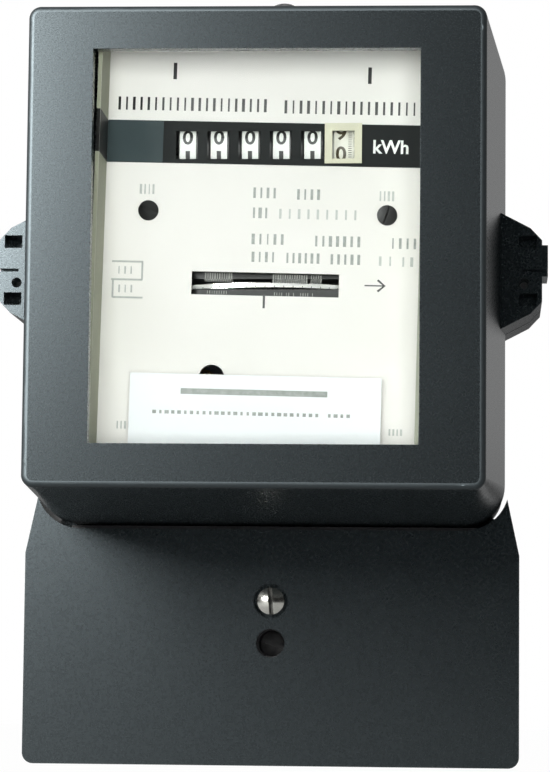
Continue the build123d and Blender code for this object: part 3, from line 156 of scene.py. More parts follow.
def start_tree(name, **sizes):
    """A tree with a start mesh, a finish and named sizes; a whole number makes a count."""
    tree = bpy.data.node_groups.new(name, "GeometryNodeTree")
    tree.interface.new_socket("Start", in_out="INPUT", socket_type="NodeSocketGeometry")
    for size, value in sizes.items():
        kind = "NodeSocketInt" if isinstance(value, int) else "NodeSocketFloat"
        tree.interface.new_socket(size, in_out="INPUT", socket_type=kind).default_value = value
    tree.interface.new_socket("Finish", in_out="INPUT", socket_type="NodeSocketMaterial")
    tree.interface.new_socket("Result", in_out="OUTPUT", socket_type="NodeSocketGeometry")
    return tree, tree.nodes.new("NodeGroupInput").outputs


def end_tree(tree, given, shape):
    """Make every copy real and give it the finish."""
    real = feed(tree, "GeometryNodeRealizeInstances", {"Geometry": shape})
    coated = feed(tree, "GeometryNodeSetMaterial", {"Geometry": real, "Material": given["Finish"]})
    tree.links.new(coated, tree.nodes.new("NodeGroupOutput").inputs[0])
    return tree


def reckon(tree, operation, *values):
    """One sum on one or two values."""
    return feed(tree, "ShaderNodeMath", dict(enumerate(values)), operation=operation)


def times(tree, one, other):
    """One value times another."""
    return reckon(tree, "MULTIPLY", one, other)


def plus(tree, one, other):
    """One value and another added up."""
    return reckon(tree, "ADD", one, other)


def point(tree, **parts):
    """A point or a size from its X, Y and Z."""
    return feed(tree, "ShaderNodeCombineXYZ", parts)


def moved(tree, shape, **parts):
    """A shape moved along X, Y and Z."""
    return feed(tree, "GeometryNodeTransform", {"Geometry": shape, "Translation": point(tree, **parts)})


def joined(tree, *shapes):
    """Several shapes as one."""
    whole = tree.nodes.new("GeometryNodeJoinGeometry")
    for shape in shapes:
        tree.links.new(shape, whole.inputs[0])
    return whole.outputs[0]


def copied(tree, points, shape, **more):
    """A copy of a shape at each point."""
    return feed(tree, "GeometryNodeInstanceOnPoints", {"Points": points, "Instance": shape, **more})


def grown(name, tree, start, material, sizes):
    """Run a tree on a start mesh and keep what it makes as a plain mesh."""
    holder = bpy.data.objects.new(name + "_start", start)
    bpy.context.scene.collection.objects.link(holder)
    step = holder.modifiers.new("grow", "NODES")
    step.node_group = tree
    for item in tree.interface.items_tree:
        if item.in_out == "INPUT" and item.name in sizes:
            step[item.identifier] = sizes[item.name]
        if item.in_out == "INPUT" and item.name == "Finish":
            step[item.identifier] = material
    bpy.context.view_layer.update()
    mesh = bpy.data.meshes.new_from_object(holder.evaluated_get(bpy.context.evaluated_depsgraph_get()))
    holder.modifiers.remove(step)
    bpy.data.objects.remove(holder)
    mesh.name = name
    mesh.materials.clear()
    mesh.materials.append(material)
    return mesh


def place_piece(name, mesh, body, *stands_for, closed=True):
    """A finished piece on its body; a closed shape gets its faces turned outwards."""
    if closed:
        work = bmesh.new()
        work.from_mesh(mesh)
        bmesh.ops.recalc_face_normals(work, faces=work.faces)
        work.to_mesh(mesh)
        work.free()
        mesh.shade_smooth()
        mesh.set_sharp_from_angle(angle=math.radians(38))
    piece = bpy.data.objects.new(name, mesh)
    bpy.context.scene.collection.objects.link(piece)
    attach(piece, body)
    if stands_for:
        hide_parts(*stands_for)
    return piece


def solids(node):
    """The box of each separate solid of a node: its low corner and its high corner."""
    work = bmesh.new()
    work.from_mesh(frame["nodes"][node].data)
    bmesh.ops.remove_doubles(work, verts=work.verts, dist=0.000001)
    met, boxes = set(), []
    for first in work.verts:
        if first in met:
            continue
        met.add(first)
        waiting, solid = [first], []
        while waiting:
            vert = waiting.pop()
            solid.append(vert.co.copy())
            for edge in vert.link_edges:
                other = edge.other_vert(vert)
                if other not in met:
                    met.add(other)
                    waiting.append(other)
        boxes.append((Vector([min(v[i] for v in solid) for i in range(3)]),
                      Vector([max(v[i] for v in solid) for i in range(3)])))
    work.free()
    return boxes


def spots(name, places):
    """A start mesh of bare points; each one carries the way its piece faces."""
    mesh = bpy.data.meshes.new(name)
    mesh.from_pydata([place for place, facing in places], [], [])
    way = mesh.attributes.new("facing", "FLOAT_VECTOR", "POINT")
    for spot, (place, facing) in zip(way.data, places):
        spot.vector = facing
    return mesh


def fastener_tree(name, slotted, threaded):
    """A crowned head with or without a slot, on a plain or a threaded shank, at each point."""
    tree, given = start_tree(name, head_radius=0.003, head_height=0.002, crown=0.0004, slot_width=0.0008,
                             slot_depth=0.0009, shank_radius=0.0015, shank_length=0.01, thread_turns=12)
    side = reckon(tree, "SUBTRACT", given["head_height"], given["crown"])
    half = times(tree, side, 0.5)
    blank = feed(tree, "GeometryNodeMeshCylinder", {"Vertices": 36, "Fill Segments": 5,
                                                    "Radius": given["head_radius"], "Depth": side},
                 fill_type="TRIANGLE_FAN")
    lifted = moved(tree, blank, Z=half)
    where = feed(tree, "GeometryNodeInputPosition")
    along_x, along_y, along_z = (feed(tree, "ShaderNodeSeparateXYZ", {0: where}, outlet=axis)
                                 for axis in "XYZ")
    top = feed(tree, "FunctionNodeCompare", {0: along_z, 1: half}, data_type="FLOAT",
               operation="GREATER_THAN")
    flat = point(tree, X=along_x, Y=along_y)
    reach = feed(tree, "ShaderNodeVectorMath", {0: flat}, outlet="Value", operation="LENGTH")
    part = reckon(tree, "DIVIDE", reach, given["head_radius"])
    squared = reckon(tree, "POWER", part, 2.0)
    left = reckon(tree, "SUBTRACT", 1.0, squared)
    rise = times(tree, left, given["crown"])
    head = feed(tree, "GeometryNodeSetPosition", {"Geometry": lifted, "Selection": top,
                                                  "Offset": point(tree, Z=rise)})
    if slotted:
        long = times(tree, given["head_radius"], 3.0)
        deep = times(tree, given["slot_depth"], 2.0)
        saw = feed(tree, "GeometryNodeMeshCube", {"Size": point(tree, X=long, Y=given["slot_width"],
                                                                Z=deep)})
        saw = moved(tree, saw, Z=given["head_height"])
        head = feed(tree, "GeometryNodeMeshBoolean", {"Mesh 1": head, "Mesh 2": saw},
                    operation="DIFFERENCE")
    rings = times(tree, given["thread_turns"], 2.0)
    pin = feed(tree, "GeometryNodeMeshCylinder", {"Vertices": 18, "Side Segments": rings,
                                                  "Radius": given["shank_radius"],
                                                  "Depth": given["shank_length"]})
    if threaded:
        share = reckon(tree, "DIVIDE", along_z, given["shank_length"])
        share = plus(tree, share, 0.5)
        angle = times(tree, share, given["thread_turns"])
        angle = times(tree, angle, math.pi)
        wave = reckon(tree, "SINE", angle)
        wave = reckon(tree, "ABSOLUTE", wave)
        cut = times(tree, wave, -0.16)
        inward = feed(tree, "ShaderNodeVectorMath", {0: flat, "Scale": cut}, operation="SCALE")
        pin = feed(tree, "GeometryNodeSetPosition", {"Geometry": pin, "Offset": inward})
    down = times(tree, given["shank_length"], -0.5)
    pin = moved(tree, pin, Z=down)
    whole = joined(tree, head, pin)
    facing = feed(tree, "GeometryNodeInputNamedAttribute", {"Name": "facing"}, data_type="FLOAT_VECTOR")
    copies = copied(tree, given["Start"], whole, Rotation=facing)
    return end_tree(tree, given, copies)


slotted_fastener = fastener_tree("slotted_fastener", True, True)
round_fastener = fastener_tree("round_fastener", False, False)
nut_height = 0.003
thread_pitch = 0.0018
slot_turns = (0.35, 1.2, -0.6, 0.9, 2.2, -1.1, 0.1, 1.7, -0.2, 0.75)


def fasteners(node, tree, material, head_height, crown, shank_radius, slot_width=0.0008, slot_depth=0.0009,
              turns=slot_turns):
    """Every fastener of a node, each one where its solid lies, in one piece; nuts are left out."""
    places, reach = [], []
    for number, (low, high) in enumerate(solids(node)):
        middle = (low + high) / 2
        size = high - low
        if size.y < nut_height:
            continue
        turn = turns[number % len(turns)]
        upright = abs(size.x - size.y) < abs(size.x - size.z)
        if upright:
            places.append(((middle.x, middle.y, low.z + head_height), (math.pi, 0, turn)))
            reach.append(size.z - head_height)
        else:
            places.append(((middle.x, low.y + head_height, middle.z), (math.pi / 2, turn, 0)))
            reach.append(size.y - head_height)
        radius = size.x / 2
    sizes = {"head_radius": radius, "head_height": head_height, "crown": crown, "slot_width": slot_width,
             "slot_depth": slot_depth, "shank_radius": shank_radius, "shank_length": min(reach),
             "thread_turns": max(2, int(2 * min(reach) / thread_pitch))}
    return grown(node + "_made", tree, spots(node + "_spots", places), material, sizes)


lug_enamel = finish("lug_enamel", (0.018, 0.018, 0.019), (0.03, 0.03, 0.03), rough=(0.25, 0.4), grain=900,
                    depth=0.00001)
wear(lug_enamel, "hanging_lug")
grey_felt = finish("grey_felt", (0.09, 0.085, 0.075), (0.16, 0.15, 0.13), patch=900, rough=(0.9, 1.0),
                   grain=3500, depth=0.0002)
wear(grey_felt, "cover_gasket")
zinc = finish("zinc_plate", (0.58, 0.58, 0.56), (0.50, 0.50, 0.49), patch=200, rough=(0.25, 0.45),
              metal=1.0, grain=1200, depth=0.000006)
rivets = place_piece("rivets", fasteners("lug_rivets", round_fastener, zinc, head_height=0.0012,
                                         crown=0.0007, shank_radius=0.0016), "base", "lug_rivets")

# ---------------------------------------------------------------- meter cover
# The front half of the case, moulded in the same black phenolic with drafted walls. Two ears
# at its rim are pinned to the base; each has two pockets and a slit for the seal wire. The
# rounded edge of its front is rubbed a little duller than the faces.
rubbed_black = finish("rubbed_black_edge", (0.0036, 0.0048, 0.0054), (0.0050, 0.0064, 0.0070), patch=45,
                      rough=(0.55, 0.60), grain=1600, depth=0.0000015, ior=1.62,
                      sheen_tint=(0.80, 0.94, 0.99))
cover = eased("meter_cover", satin_black, width=0.0011, steps=3, edge_material=rubbed_black)
front_round = 0.0017
cover_front = min(v.co.y for v in cover.data.vertices)
for face in cover.data.polygons:
    on_flat_front = face.normal.y < -0.9995
    if face.center.y < cover_front + front_round and not on_flat_front:
        face.material_index = 1
dark_steel = finish("blackened_steel", (0.02, 0.02, 0.021), (0.05, 0.05, 0.05), patch=400, rough=(0.3, 0.5),
                    metal=0.6, grain=1500)
seal_screws = place_piece("seal_screws", fasteners("cover_seal_screws", slotted_fastener, dark_steel,
                                                   head_height=0.0035, crown=0.0004, shank_radius=0.001,
                                                   slot_width=0.0005, slot_depth=0.0008, turns=(1.5, 1.35)),
                          "meter_cover", "cover_seal_screws")
black_rubber = finish("black_rubber", (0.015, 0.015, 0.015), (0.025, 0.025, 0.025), rough=(0.7, 0.85),
                      grain=2500)
wear(black_rubber, "glass_seal")
spring = finish("spring_steel", (0.5, 0.5, 0.5), (0.36, 0.37, 0.4), patch=200, rough=(0.2, 0.35), metal=1.0,
                stretch=(1, 1, 6))
wear(spring, "glass_clips")

# ---------------------------------------------------------------- window glass
# A pane of clear float glass, a little uneven in tint, held behind the window by four clips.
# It is clear from straight ahead and mirrors at a slant.
pane = bpy.data.materials.new("clear_pane")
pane.use_nodes = True
tree = pane.node_tree
place = feed(tree, "ShaderNodeTexCoord", outlet="Object")
film = feed(tree, "ShaderNodeTexNoise", {"Vector": place, "Scale": 25.0}, outlet="Fac")
tint = feed(tree, "ShaderNodeMix", {"Factor": film, 6: (0.985, 0.995, 0.99, 1), 7: (0.965, 0.98, 0.97, 1)},
            outlet=2, data_type="RGBA")
clear = feed(tree, "ShaderNodeBsdfTransparent", {"Color": tint})
mirror = tree.nodes["Principled BSDF"]
mirror.inputs["Roughness"].default_value = 0.02
mirror.inputs["IOR"].default_value = 1.5
mirror.inputs["Metallic"].default_value = 1.0
tree.links.new(tint, mirror.inputs["Base Color"])
slanted = feed(tree, "ShaderNodeFresnel", {"IOR": 1.5})
from_within = feed(tree, "ShaderNodeNewGeometry", outlet="Backfacing")
mirrored = feed(tree, "ShaderNodeMath", {0: slanted, 1: from_within}, operation="SUBTRACT", use_clamp=True)
surface = feed(tree, "ShaderNodeMixShader", {"Fac": mirrored, 1: clear, 2: mirror.outputs["BSDF"]})
tree.links.new(surface, tree.nodes["Material Output"].inputs["Surface"])
wear(pane, "window_glass")

# ---------------------------------------------------------------- terminal cover
# A deep black moulding over the terminals. One nickelled sealing screw holds it; the screw's
# tall slotted head stands in a round recess.
lid = eased("terminal_cover", satin_black, width=0.0006)
nickel = finish("dull_nickel", (0.78, 0.78, 0.72), (0.62, 0.62, 0.57), patch=300, rough=(0.16, 0.24),
                metal=1.0, grain=500, depth=0.000001)
sealing_screw = place_piece("sealing_screw", fasteners("terminal_cover_screw", slotted_fastener, nickel,
                                                       head_height=0.0042, crown=0.0011, shank_radius=0.002,
                                                       slot_width=0.0012, slot_depth=0.0016, turns=(1.5,)),
                            "terminal_cover_screw", "terminal_cover_screw")

# ---------------------------------------------------------------- terminal block
# A black moulded block with four brass bodies, two screws in each; a brass link, clamped by
# its own screw, joins the voltage circuit.
block_black = finish("block_moulding", (0.014, 0.014, 0.015), (0.02, 0.02, 0.021), rough=(0.5, 0.62),
                     grain=1800)
block = eased("terminal_block", block_black, width=0.0003)
brass = finish("machined_brass", (0.72, 0.52, 0.22), (0.66, 0.46, 0.19), patch=90, rough=(0.2, 0.38),
               metal=1.0, grain=1500, depth=0.000005)
wear(brass, "terminal_bodies", "voltage_link")
for node, head, shank in (("terminal_screws", 0.003, 0.0024), ("link_screw", 0.0018, 0.0015),
                          ("block_screw", 0.003, 0.0018)):
    ink = dark_steel if node == "block_screw" else zinc
    piece = place_piece(node + "_slotted", fasteners(node, slotted_fastener, ink, head_height=head,
                                                     crown=0.0006, shank_radius=shank, slot_width=0.001,
                                                     slot_depth=0.0014), "base", node)

# ---------------------------------------------------------------- movement frame
# A frame die-cast in a light alloy and left as cast. It stands on four legs, screwed to the
# base, and carries the magnets, the bearings and the register.
cast_grey = finish("die_casting", (0.44, 0.44, 0.43), (0.39, 0.39, 0.39), patch=120, rough=(0.4, 0.6),
                   metal=0.9, grain=1400, depth=0.00004)
casting = eased("movement_frame", cast_grey, width=0.0004)
for node, head, shank in (("frame_screws", 0.0026, 0.002), ("movement_screws", 0.0016, 0.0015)):
    piece = place_piece(node + "_slotted", fasteners(node, slotted_fastener, zinc, head_height=head,
                                                     crown=0.0005, shank_radius=shank, slot_width=0.0008,
                                                     slot_depth=0.0009), "base", node)

# ---------------------------------------------------------------- electromagnets
# Stacks of varnished silicon steel sheets. The coil above the disc is fine wire under lapped
# tape, the two below it are thick enamelled wire.
sheet_count = 24
sheet_share = 0.84                   # of each sheet's pitch, the rest is air


def sheet_tree():
    """A solid cut up into thin sheets with a hair of air between them, stacked front to back."""
    tree, given = start_tree("stacked_sheets", sheets=sheet_count, front=-0.028, pitch=0.0005,
                             share=sheet_share)
    stack = times(tree, given["pitch"], given["sheets"])
    middle = times(tree, stack, 0.5)
    middle = plus(tree, middle, given["front"])
    back = times(tree, middle, -1.0)
    centred = moved(tree, given["Start"], Y=back)
    thin = reckon(tree, "DIVIDE", given["share"], given["sheets"])
    sheet = feed(tree, "GeometryNodeTransform", {"Geometry": centred,
                                                 "Scale": point(tree, X=1.0, Y=thin, Z=1.0)})
    half = times(tree, given["pitch"], 0.5)
    first = plus(tree, given["front"], half)
    row = feed(tree, "GeometryNodeMeshLine", {"Count": given["sheets"],
                                              "Start Location": point(tree, Y=first),
                                              "Offset": point(tree, Y=given["pitch"])})
    return end_tree(tree, given, copied(tree, row, sheet))


stacked_sheets = sheet_tree()
sheets = finish("varnished_sheets", (0.15, 0.13, 0.11), (0.24, 0.21, 0.18), patch=2200, rough=(0.3, 0.45),
                metal=0.6, grain=3000, depth=0.00004)
for node in ("voltage_core", "current_core"):
    work = bmesh.new()
    work.from_mesh(frame["nodes"][node].data)
    bmesh.ops.remove_doubles(work, verts=work.verts, dist=same_corner)
    bmesh.ops.dissolve_limit(work, angle_limit=one_plane, verts=work.verts, edges=work.edges)
    solid = bpy.data.meshes.new(node + "_solid")
    work.to_mesh(solid)
    work.free()
    low, high = min(v.co.y for v in solid.vertices), max(v.co.y for v in solid.vertices)
    sizes = {"sheets": sheet_count, "front": low, "pitch": (high - low) / sheet_count, "share": sheet_share}
    mesh = grown(node + "_sheets", stacked_sheets, solid, sheets, sizes)
    place_piece(node + "_stack", mesh, "base", node, closed=False)
core_fasteners = fasteners("core_screws", slotted_fastener, zinc, head_height=0.0016, crown=0.0004,
                           shank_radius=0.0015, slot_width=0.0007, slot_depth=0.0007)
nut_radius = 0.0029
work = bmesh.new()
work.from_mesh(core_fasteners)
for low, high in solids("core_screws"):
    if (high - low).y < nut_height:
        bmesh.ops.create_cone(work, cap_ends=True, segments=6, radius1=nut_radius, radius2=nut_radius,
                              depth=(high - low).y, matrix=Matrix.Translation((low + high) / 2)
                              @ Matrix.Rotation(math.pi / 2, 4, "X"))
work.to_mesh(core_fasteners)
work.free()
place_piece("core_screws_slotted", core_fasteners, "base", "core_screws")
former = finish("former_moulding", (0.6, 0.55, 0.42), (0.5, 0.45, 0.33), rough=(0.3, 0.45))
wear(former, "voltage_bobbin")
wear(brass, "low_load_lever")


def winding_tree(name, taped):
    """Turns of round wire, or laps of flat tape, laid one over the other round a filled core."""
    tree, given = start_tree(name, half_width=0.0071, half_depth=0.0091, corner=0.0035, thickness=0.002,
                             pitch=0.00204, turns=11, fill_half_width=0.0053, fill_half_depth=0.0073,
                             fill_thickness=0.0022)
    height = times(tree, given["pitch"], given["turns"])

    def path(half_width, half_depth, corner):
        wide = times(tree, half_width, 2.0)
        deep = times(tree, half_depth, 2.0)
        ring = feed(tree, "GeometryNodeCurvePrimitiveQuadrilateral", {"Width": wide, "Height": deep})
        return feed(tree, "GeometryNodeFilletCurve", {"Curve": ring, "Radius": corner, "Count": 7},
                    mode="POLY")

    outer = path(given["half_width"], given["half_depth"], given["corner"])
    if taped:
        top = times(tree, given["thickness"], 0.45)
        lap_sizes = {"Bottom Width": given["thickness"], "Top Width": top, "Height": given["pitch"],
                     "Offset": 0.0}
        section = feed(tree, "GeometryNodeCurvePrimitiveQuadrilateral", lap_sizes, mode="TRAPEZOID")
    else:
        wire_radius = times(tree, given["thickness"], 0.5)
        section = feed(tree, "GeometryNodeCurvePrimitiveCircle", {"Resolution": 10, "Radius": wire_radius})
    turn = feed(tree, "GeometryNodeCurveToMesh", {"Curve": outer, "Profile Curve": section})
    first = times(tree, given["pitch"], 0.5)
    column = feed(tree, "GeometryNodeMeshLine", {"Count": given["turns"],
                                                 "Start Location": point(tree, Z=first),
                                                 "Offset": point(tree, Z=given["pitch"])})
    laid = copied(tree, column, turn)
    block = feed(tree, "GeometryNodeCurvePrimitiveQuadrilateral",
                 {"Width": given["fill_thickness"], "Height": height})
    inner = path(given["fill_half_width"], given["fill_half_depth"], times(tree, given["corner"], 0.55))
    fill = feed(tree, "GeometryNodeCurveToMesh", {"Curve": inner, "Profile Curve": block})
    lift = times(tree, height, 0.5)
    fill = moved(tree, fill, Z=lift)
    whole = joined(tree, laid, fill)
    return end_tree(tree, given, copied(tree, given["Start"], whole))


enamel_wire = finish("enamelled_copper", (0.42, 0.13, 0.04), (0.26, 0.07, 0.02), patch=300,
                     rough=(0.2, 0.35), metal=0.7)
tape = finish("varnished_tape", (0.36, 0.22, 0.06), (0.24, 0.13, 0.03), patch=160, rough=(0.3, 0.5),
              grain=1200, depth=0.00005, stretch=(1, 1, 8))


def feet(node):
    """The middle of the foot of each solid of a node, facing up."""
    return [(((low.x + high.x) / 2, (low.y + high.y) / 2, low.z), (0, 0, 0)) for low, high in solids(node)]


low, high = solids("current_coils")[0]
wire = 0.0020
wire_turns = 11
half_x, half_y = (high.x - low.x - wire) / 2, (high.y - low.y - wire) / 2
wire_sizes = {"half_width": half_x, "half_depth": half_y, "corner": 0.0034, "thickness": wire,
              "pitch": (high.z - low.z) / wire_turns, "turns": wire_turns,
              "fill_half_width": half_x - 0.0019, "fill_half_depth": half_y - 0.0019,
              "fill_thickness": 0.0019}
wire_winding = winding_tree("wire_winding", taped=False)
mesh = grown("current_windings", wire_winding, spots("limbs", feet("current_coils")), enamel_wire,
             wire_sizes)
place_piece("current_windings", mesh, "base", "current_coils")
low, high = solids("voltage_coil")[0]
lap = 0.0009
laps = 8
half_x, half_y = (high.x - low.x - lap) / 2, (high.y - low.y - lap) / 2
lap_sizes = {"half_width": half_x, "half_depth": half_y, "corner": 0.003, "thickness": lap,
             "pitch": (high.z - low.z) / laps, "turns": laps, "fill_half_width": half_x - 0.0013,
             "fill_half_depth": half_y - 0.0011, "fill_thickness": 0.0018}
tape_winding = winding_tree("tape_winding", taped=True)
mesh = grown("voltage_winding", tape_winding, spots("tongue", feet("voltage_coil")[:1]), tape, lap_sizes)
place_piece("voltage_winding", mesh, "base", "voltage_coil")
wear(enamel_wire, "current_leads")
blue_cover = finish("blue_lead_cover", (0.03, 0.05, 0.22), (0.04, 0.06, 0.26), rough=(0.4, 0.5))
wear(blue_cover, "voltage_leads")

# ---------------------------------------------------------------- brake magnet
# A block of cast magnet alloy, rough as it comes from the sand, with the disc in its gap. It
# hangs on a zinc plated bracket.
alloy = finish("magnet_alloy", (0.16, 0.16, 0.17), (0.24, 0.24, 0.24), patch=350, rough=(0.4, 0.65),
               metal=0.8, grain=1200, depth=0.00012)
wear(alloy, "brake_magnet")
wear(zinc, "magnet_bracket")

# ---------------------------------------------------------------- rotor
# A bright aluminium disc on a ground steel spindle, with fine rings from turning. Its edge
# carries a white band that is a painted highlight, standing in for the light the bright rim catches;
# it bears a hundred fine printed marks and one broad one for counting.


def mark_ring_tree():
    """Upright marks in a ring about the vertical, facing outwards."""
    tree, given = start_tree("mark_ring", marks=100, radius=0.039, mark_width=0.0003, mark_height=0.0008)
    ring = feed(tree, "GeometryNodeMeshCircle", {"Vertices": given["marks"], "Radius": given["radius"]})
    number = feed(tree, "GeometryNodeInputIndex")
    angle = reckon(tree, "DIVIDE", number, given["marks"])
    angle = times(tree, angle, 2 * math.pi)
    angle = plus(tree, angle, math.pi / 2)
    facing = point(tree, X=math.pi / 2, Z=angle)
    mark = feed(tree, "GeometryNodeMeshGrid", {"Size X": given["mark_width"],
                                               "Size Y": given["mark_height"], "Vertices X": 2,
                                               "Vertices Y": 2})
    marks = copied(tree, ring, mark, Rotation=facing)
    return end_tree(tree, given, copied(tree, given["Start"], marks))


def hoop(middle, radius, high, across=False, steps=192):
    """A thin painted band round the vertical, or round the x axis when it lies across."""
    mesh = bpy.data.meshes.new("hoop")
    points, faces = [], []
    for step in range(steps):
        angle = 2 * math.pi * step / steps
        c, n = radius * math.cos(angle), radius * math.sin(angle)
        for end in (-high / 2, high / 2):
            shift = (end, c, n) if across else (c, n, end)
            points.append([m + d for m, d in zip(middle, shift)])
        after = (step + 1) % steps
        faces.append((2 * step, 2 * after, 2 * after + 1, 2 * step + 1))
    mesh.from_pydata(points, [], faces)
    for face in mesh.polygons:
        away = face.center - Vector(middle)
        if face.normal.dot(away) < 0:
            face.flip()
    mesh.shade_smooth()
    return mesh


def round_the_disc(face):
    """How far round the disc a face of its edge lies, in radians."""
    from_axis = face.calc_center_median() - Vector(disc_middle)
    return math.atan2(from_axis.y, from_axis.x) % (2 * math.pi)


disc_middle = (0.0008, -0.0465, -0.0066)
disc_radius = 0.0390
disc_edge = 0.0011
bright = finish("turned_aluminium", (0.86, 0.86, 0.85), (0.78, 0.78, 0.77), patch=120, rough=(0.2, 0.3),
                metal=1.0, grain=1200, depth=0.000003)
tree = bright.node_tree
place = feed(tree, "ShaderNodeTexCoord", outlet="Object")
centred = feed(tree, "ShaderNodeMapping", {"Vector": place, "Location": [-c for c in disc_middle]})
rings = feed(tree, "ShaderNodeTexWave", {"Vector": centred, "Scale": 420, "Distortion": 0.6}, outlet="Fac",
             wave_type="RINGS", rings_direction="Z")
grooves = feed(tree, "ShaderNodeBump", {"Height": rings, "Strength": 0.35, "Distance": 0.00002})
tree.links.new(grooves, tree.nodes["Principled BSDF"].inputs["Normal"])
wear(bright, "rotor_disc")
ground = finish("ground_steel", (0.55, 0.55, 0.56), (0.42, 0.42, 0.43), patch=200, rough=(0.15, 0.3),
                metal=1.0, stretch=(1, 1, 8))
wear(ground, "spindle", "wheel_shaft", "idler_shaft", "drum_shaft", "pinion_shaft")
wear(brass, "worm", "lower_bearing", "upper_bearing", "worm_wheel", "idler_gear")
# The white edge band is a painted highlight for the light the bright rim catches; the marks on it are print.
rim_highlight_white = finish("rim_painted_highlight", (0.90, 0.90, 0.87), (0.84, 0.84, 0.80), patch=200, rough=(0.4, 0.5))
edge_black = finish("edge_marks", (0.02, 0.02, 0.02), (0.035, 0.035, 0.035), patch=500, rough=(0.5, 0.6))
rim_highlight_mesh = hoop(disc_middle, disc_radius + 0.00003, disc_edge)
rim_highlight_mesh.materials.append(rim_highlight_white)
place_piece("disc_rim_highlight_band", rim_highlight_mesh, "rotor", closed=False)
marks_drop = 0.00035
marks = grown("disc_marks", mark_ring_tree(), spots("disc_axis", [(disc_middle, (0, 0, 0))]), edge_black,
              {"marks": 100, "radius": disc_radius + 0.00006, "mark_width": 0.00018, "mark_height": 0.0004})
for v in marks.vertices:
    v.co.z -= marks_drop
place_piece("disc_marks", marks, "rotor", closed=False)
broad = hoop(disc_middle, disc_radius + 0.00007, disc_edge)
work = bmesh.new()
work.from_mesh(broad)
away = [face for face in work.faces if round_the_disc(face) > math.radians(14)]
bmesh.ops.delete(work, geom=away, context="FACES")
work.to_mesh(broad)
work.free()
broad.materials.append(edge_black)
place_piece("disc_counting_mark", broad, "rotor", closed=False)

# ---------------------------------------------------------------- register
# Six moulded drums on one shaft in a folded steel frame; the slowest five are black and the
# fastest is pale. Pale moulded pinions pass the turns on.
frame_plate = finish("dark_plated_steel", (0.06, 0.06, 0.06), (0.1, 0.1, 0.1), patch=200, rough=(0.35, 0.5),
                     metal=0.7)
wear(frame_plate, "register_frame", "dial_arms")
drum_black = finish("drum_black", (0.012, 0.012, 0.012), (0.018, 0.018, 0.018), rough=(0.45, 0.6))
wear(drum_black, *("number_drum_%d" % number for number in range(2, 7)))
drum_pale = finish("drum_pale", (0.80, 0.79, 0.70), (0.72, 0.71, 0.62), rough=(0.45, 0.6))
wear(drum_pale, "number_drum_1")
pinion_white = finish("pinion_moulding", (0.7, 0.7, 0.66), (0.6, 0.6, 0.56), rough=(0.35, 0.5))
wear(pinion_white, *("transfer_pinion_%d" % number for number in range(1, 6)))

# ---------------------------------------------------------------- figures on the drums
# Each black drum has a white ring printed round its middle with ten black figures on it; the
# pale drum has brown figures beside a fine scale. At rest the drums stand just past nought.
white_ink = finish("white_ink", (0.88, 0.89, 0.86), (0.80, 0.81, 0.78), patch=700, rough=(0.5, 0.6))
black_ink = finish("black_ink", (0.010, 0.010, 0.010), (0.018, 0.018, 0.018), patch=700, rough=(0.5, 0.6))
brown_ink = finish("brown_ink", (0.045, 0.035, 0.015), (0.07, 0.055, 0.03), patch=700, rough=(0.5, 0.6))
figure_high = 0.0040
figure_wide = 0.0027
figure_weight = 0.022
one_wide = 0.42                      # of the width of the other figures
drum_radius = 0.0090
ring_wide = 0.0043


def figure_mesh(text, high, wide=None, weight=0.0):
    """A flat figure with its middle at nought."""
    curve = bpy.data.curves.new("figure_" + text, "FONT")
    curve.body = text
    curve.align_x = "CENTER"
    curve.offset = weight
    holder = bpy.data.objects.new("figure_" + text, curve)
    bpy.context.scene.collection.objects.link(holder)
    bpy.context.view_layer.update()
    mesh = bpy.data.meshes.new_from_object(holder.evaluated_get(bpy.context.evaluated_depsgraph_get()))
    bpy.data.objects.remove(holder)
    xs = [v.co.x for v in mesh.vertices]
    ys = [v.co.y for v in mesh.vertices]
    scale_y = high / (max(ys) - min(ys))
    scale_x = wide / (max(xs) - min(xs)) if wide else scale_y
    for v in mesh.vertices:
        v.co = ((v.co.x - (max(xs) + min(xs)) / 2) * scale_x,
                (v.co.y - (max(ys) + min(ys)) / 2) * scale_y, 0)
    return mesh


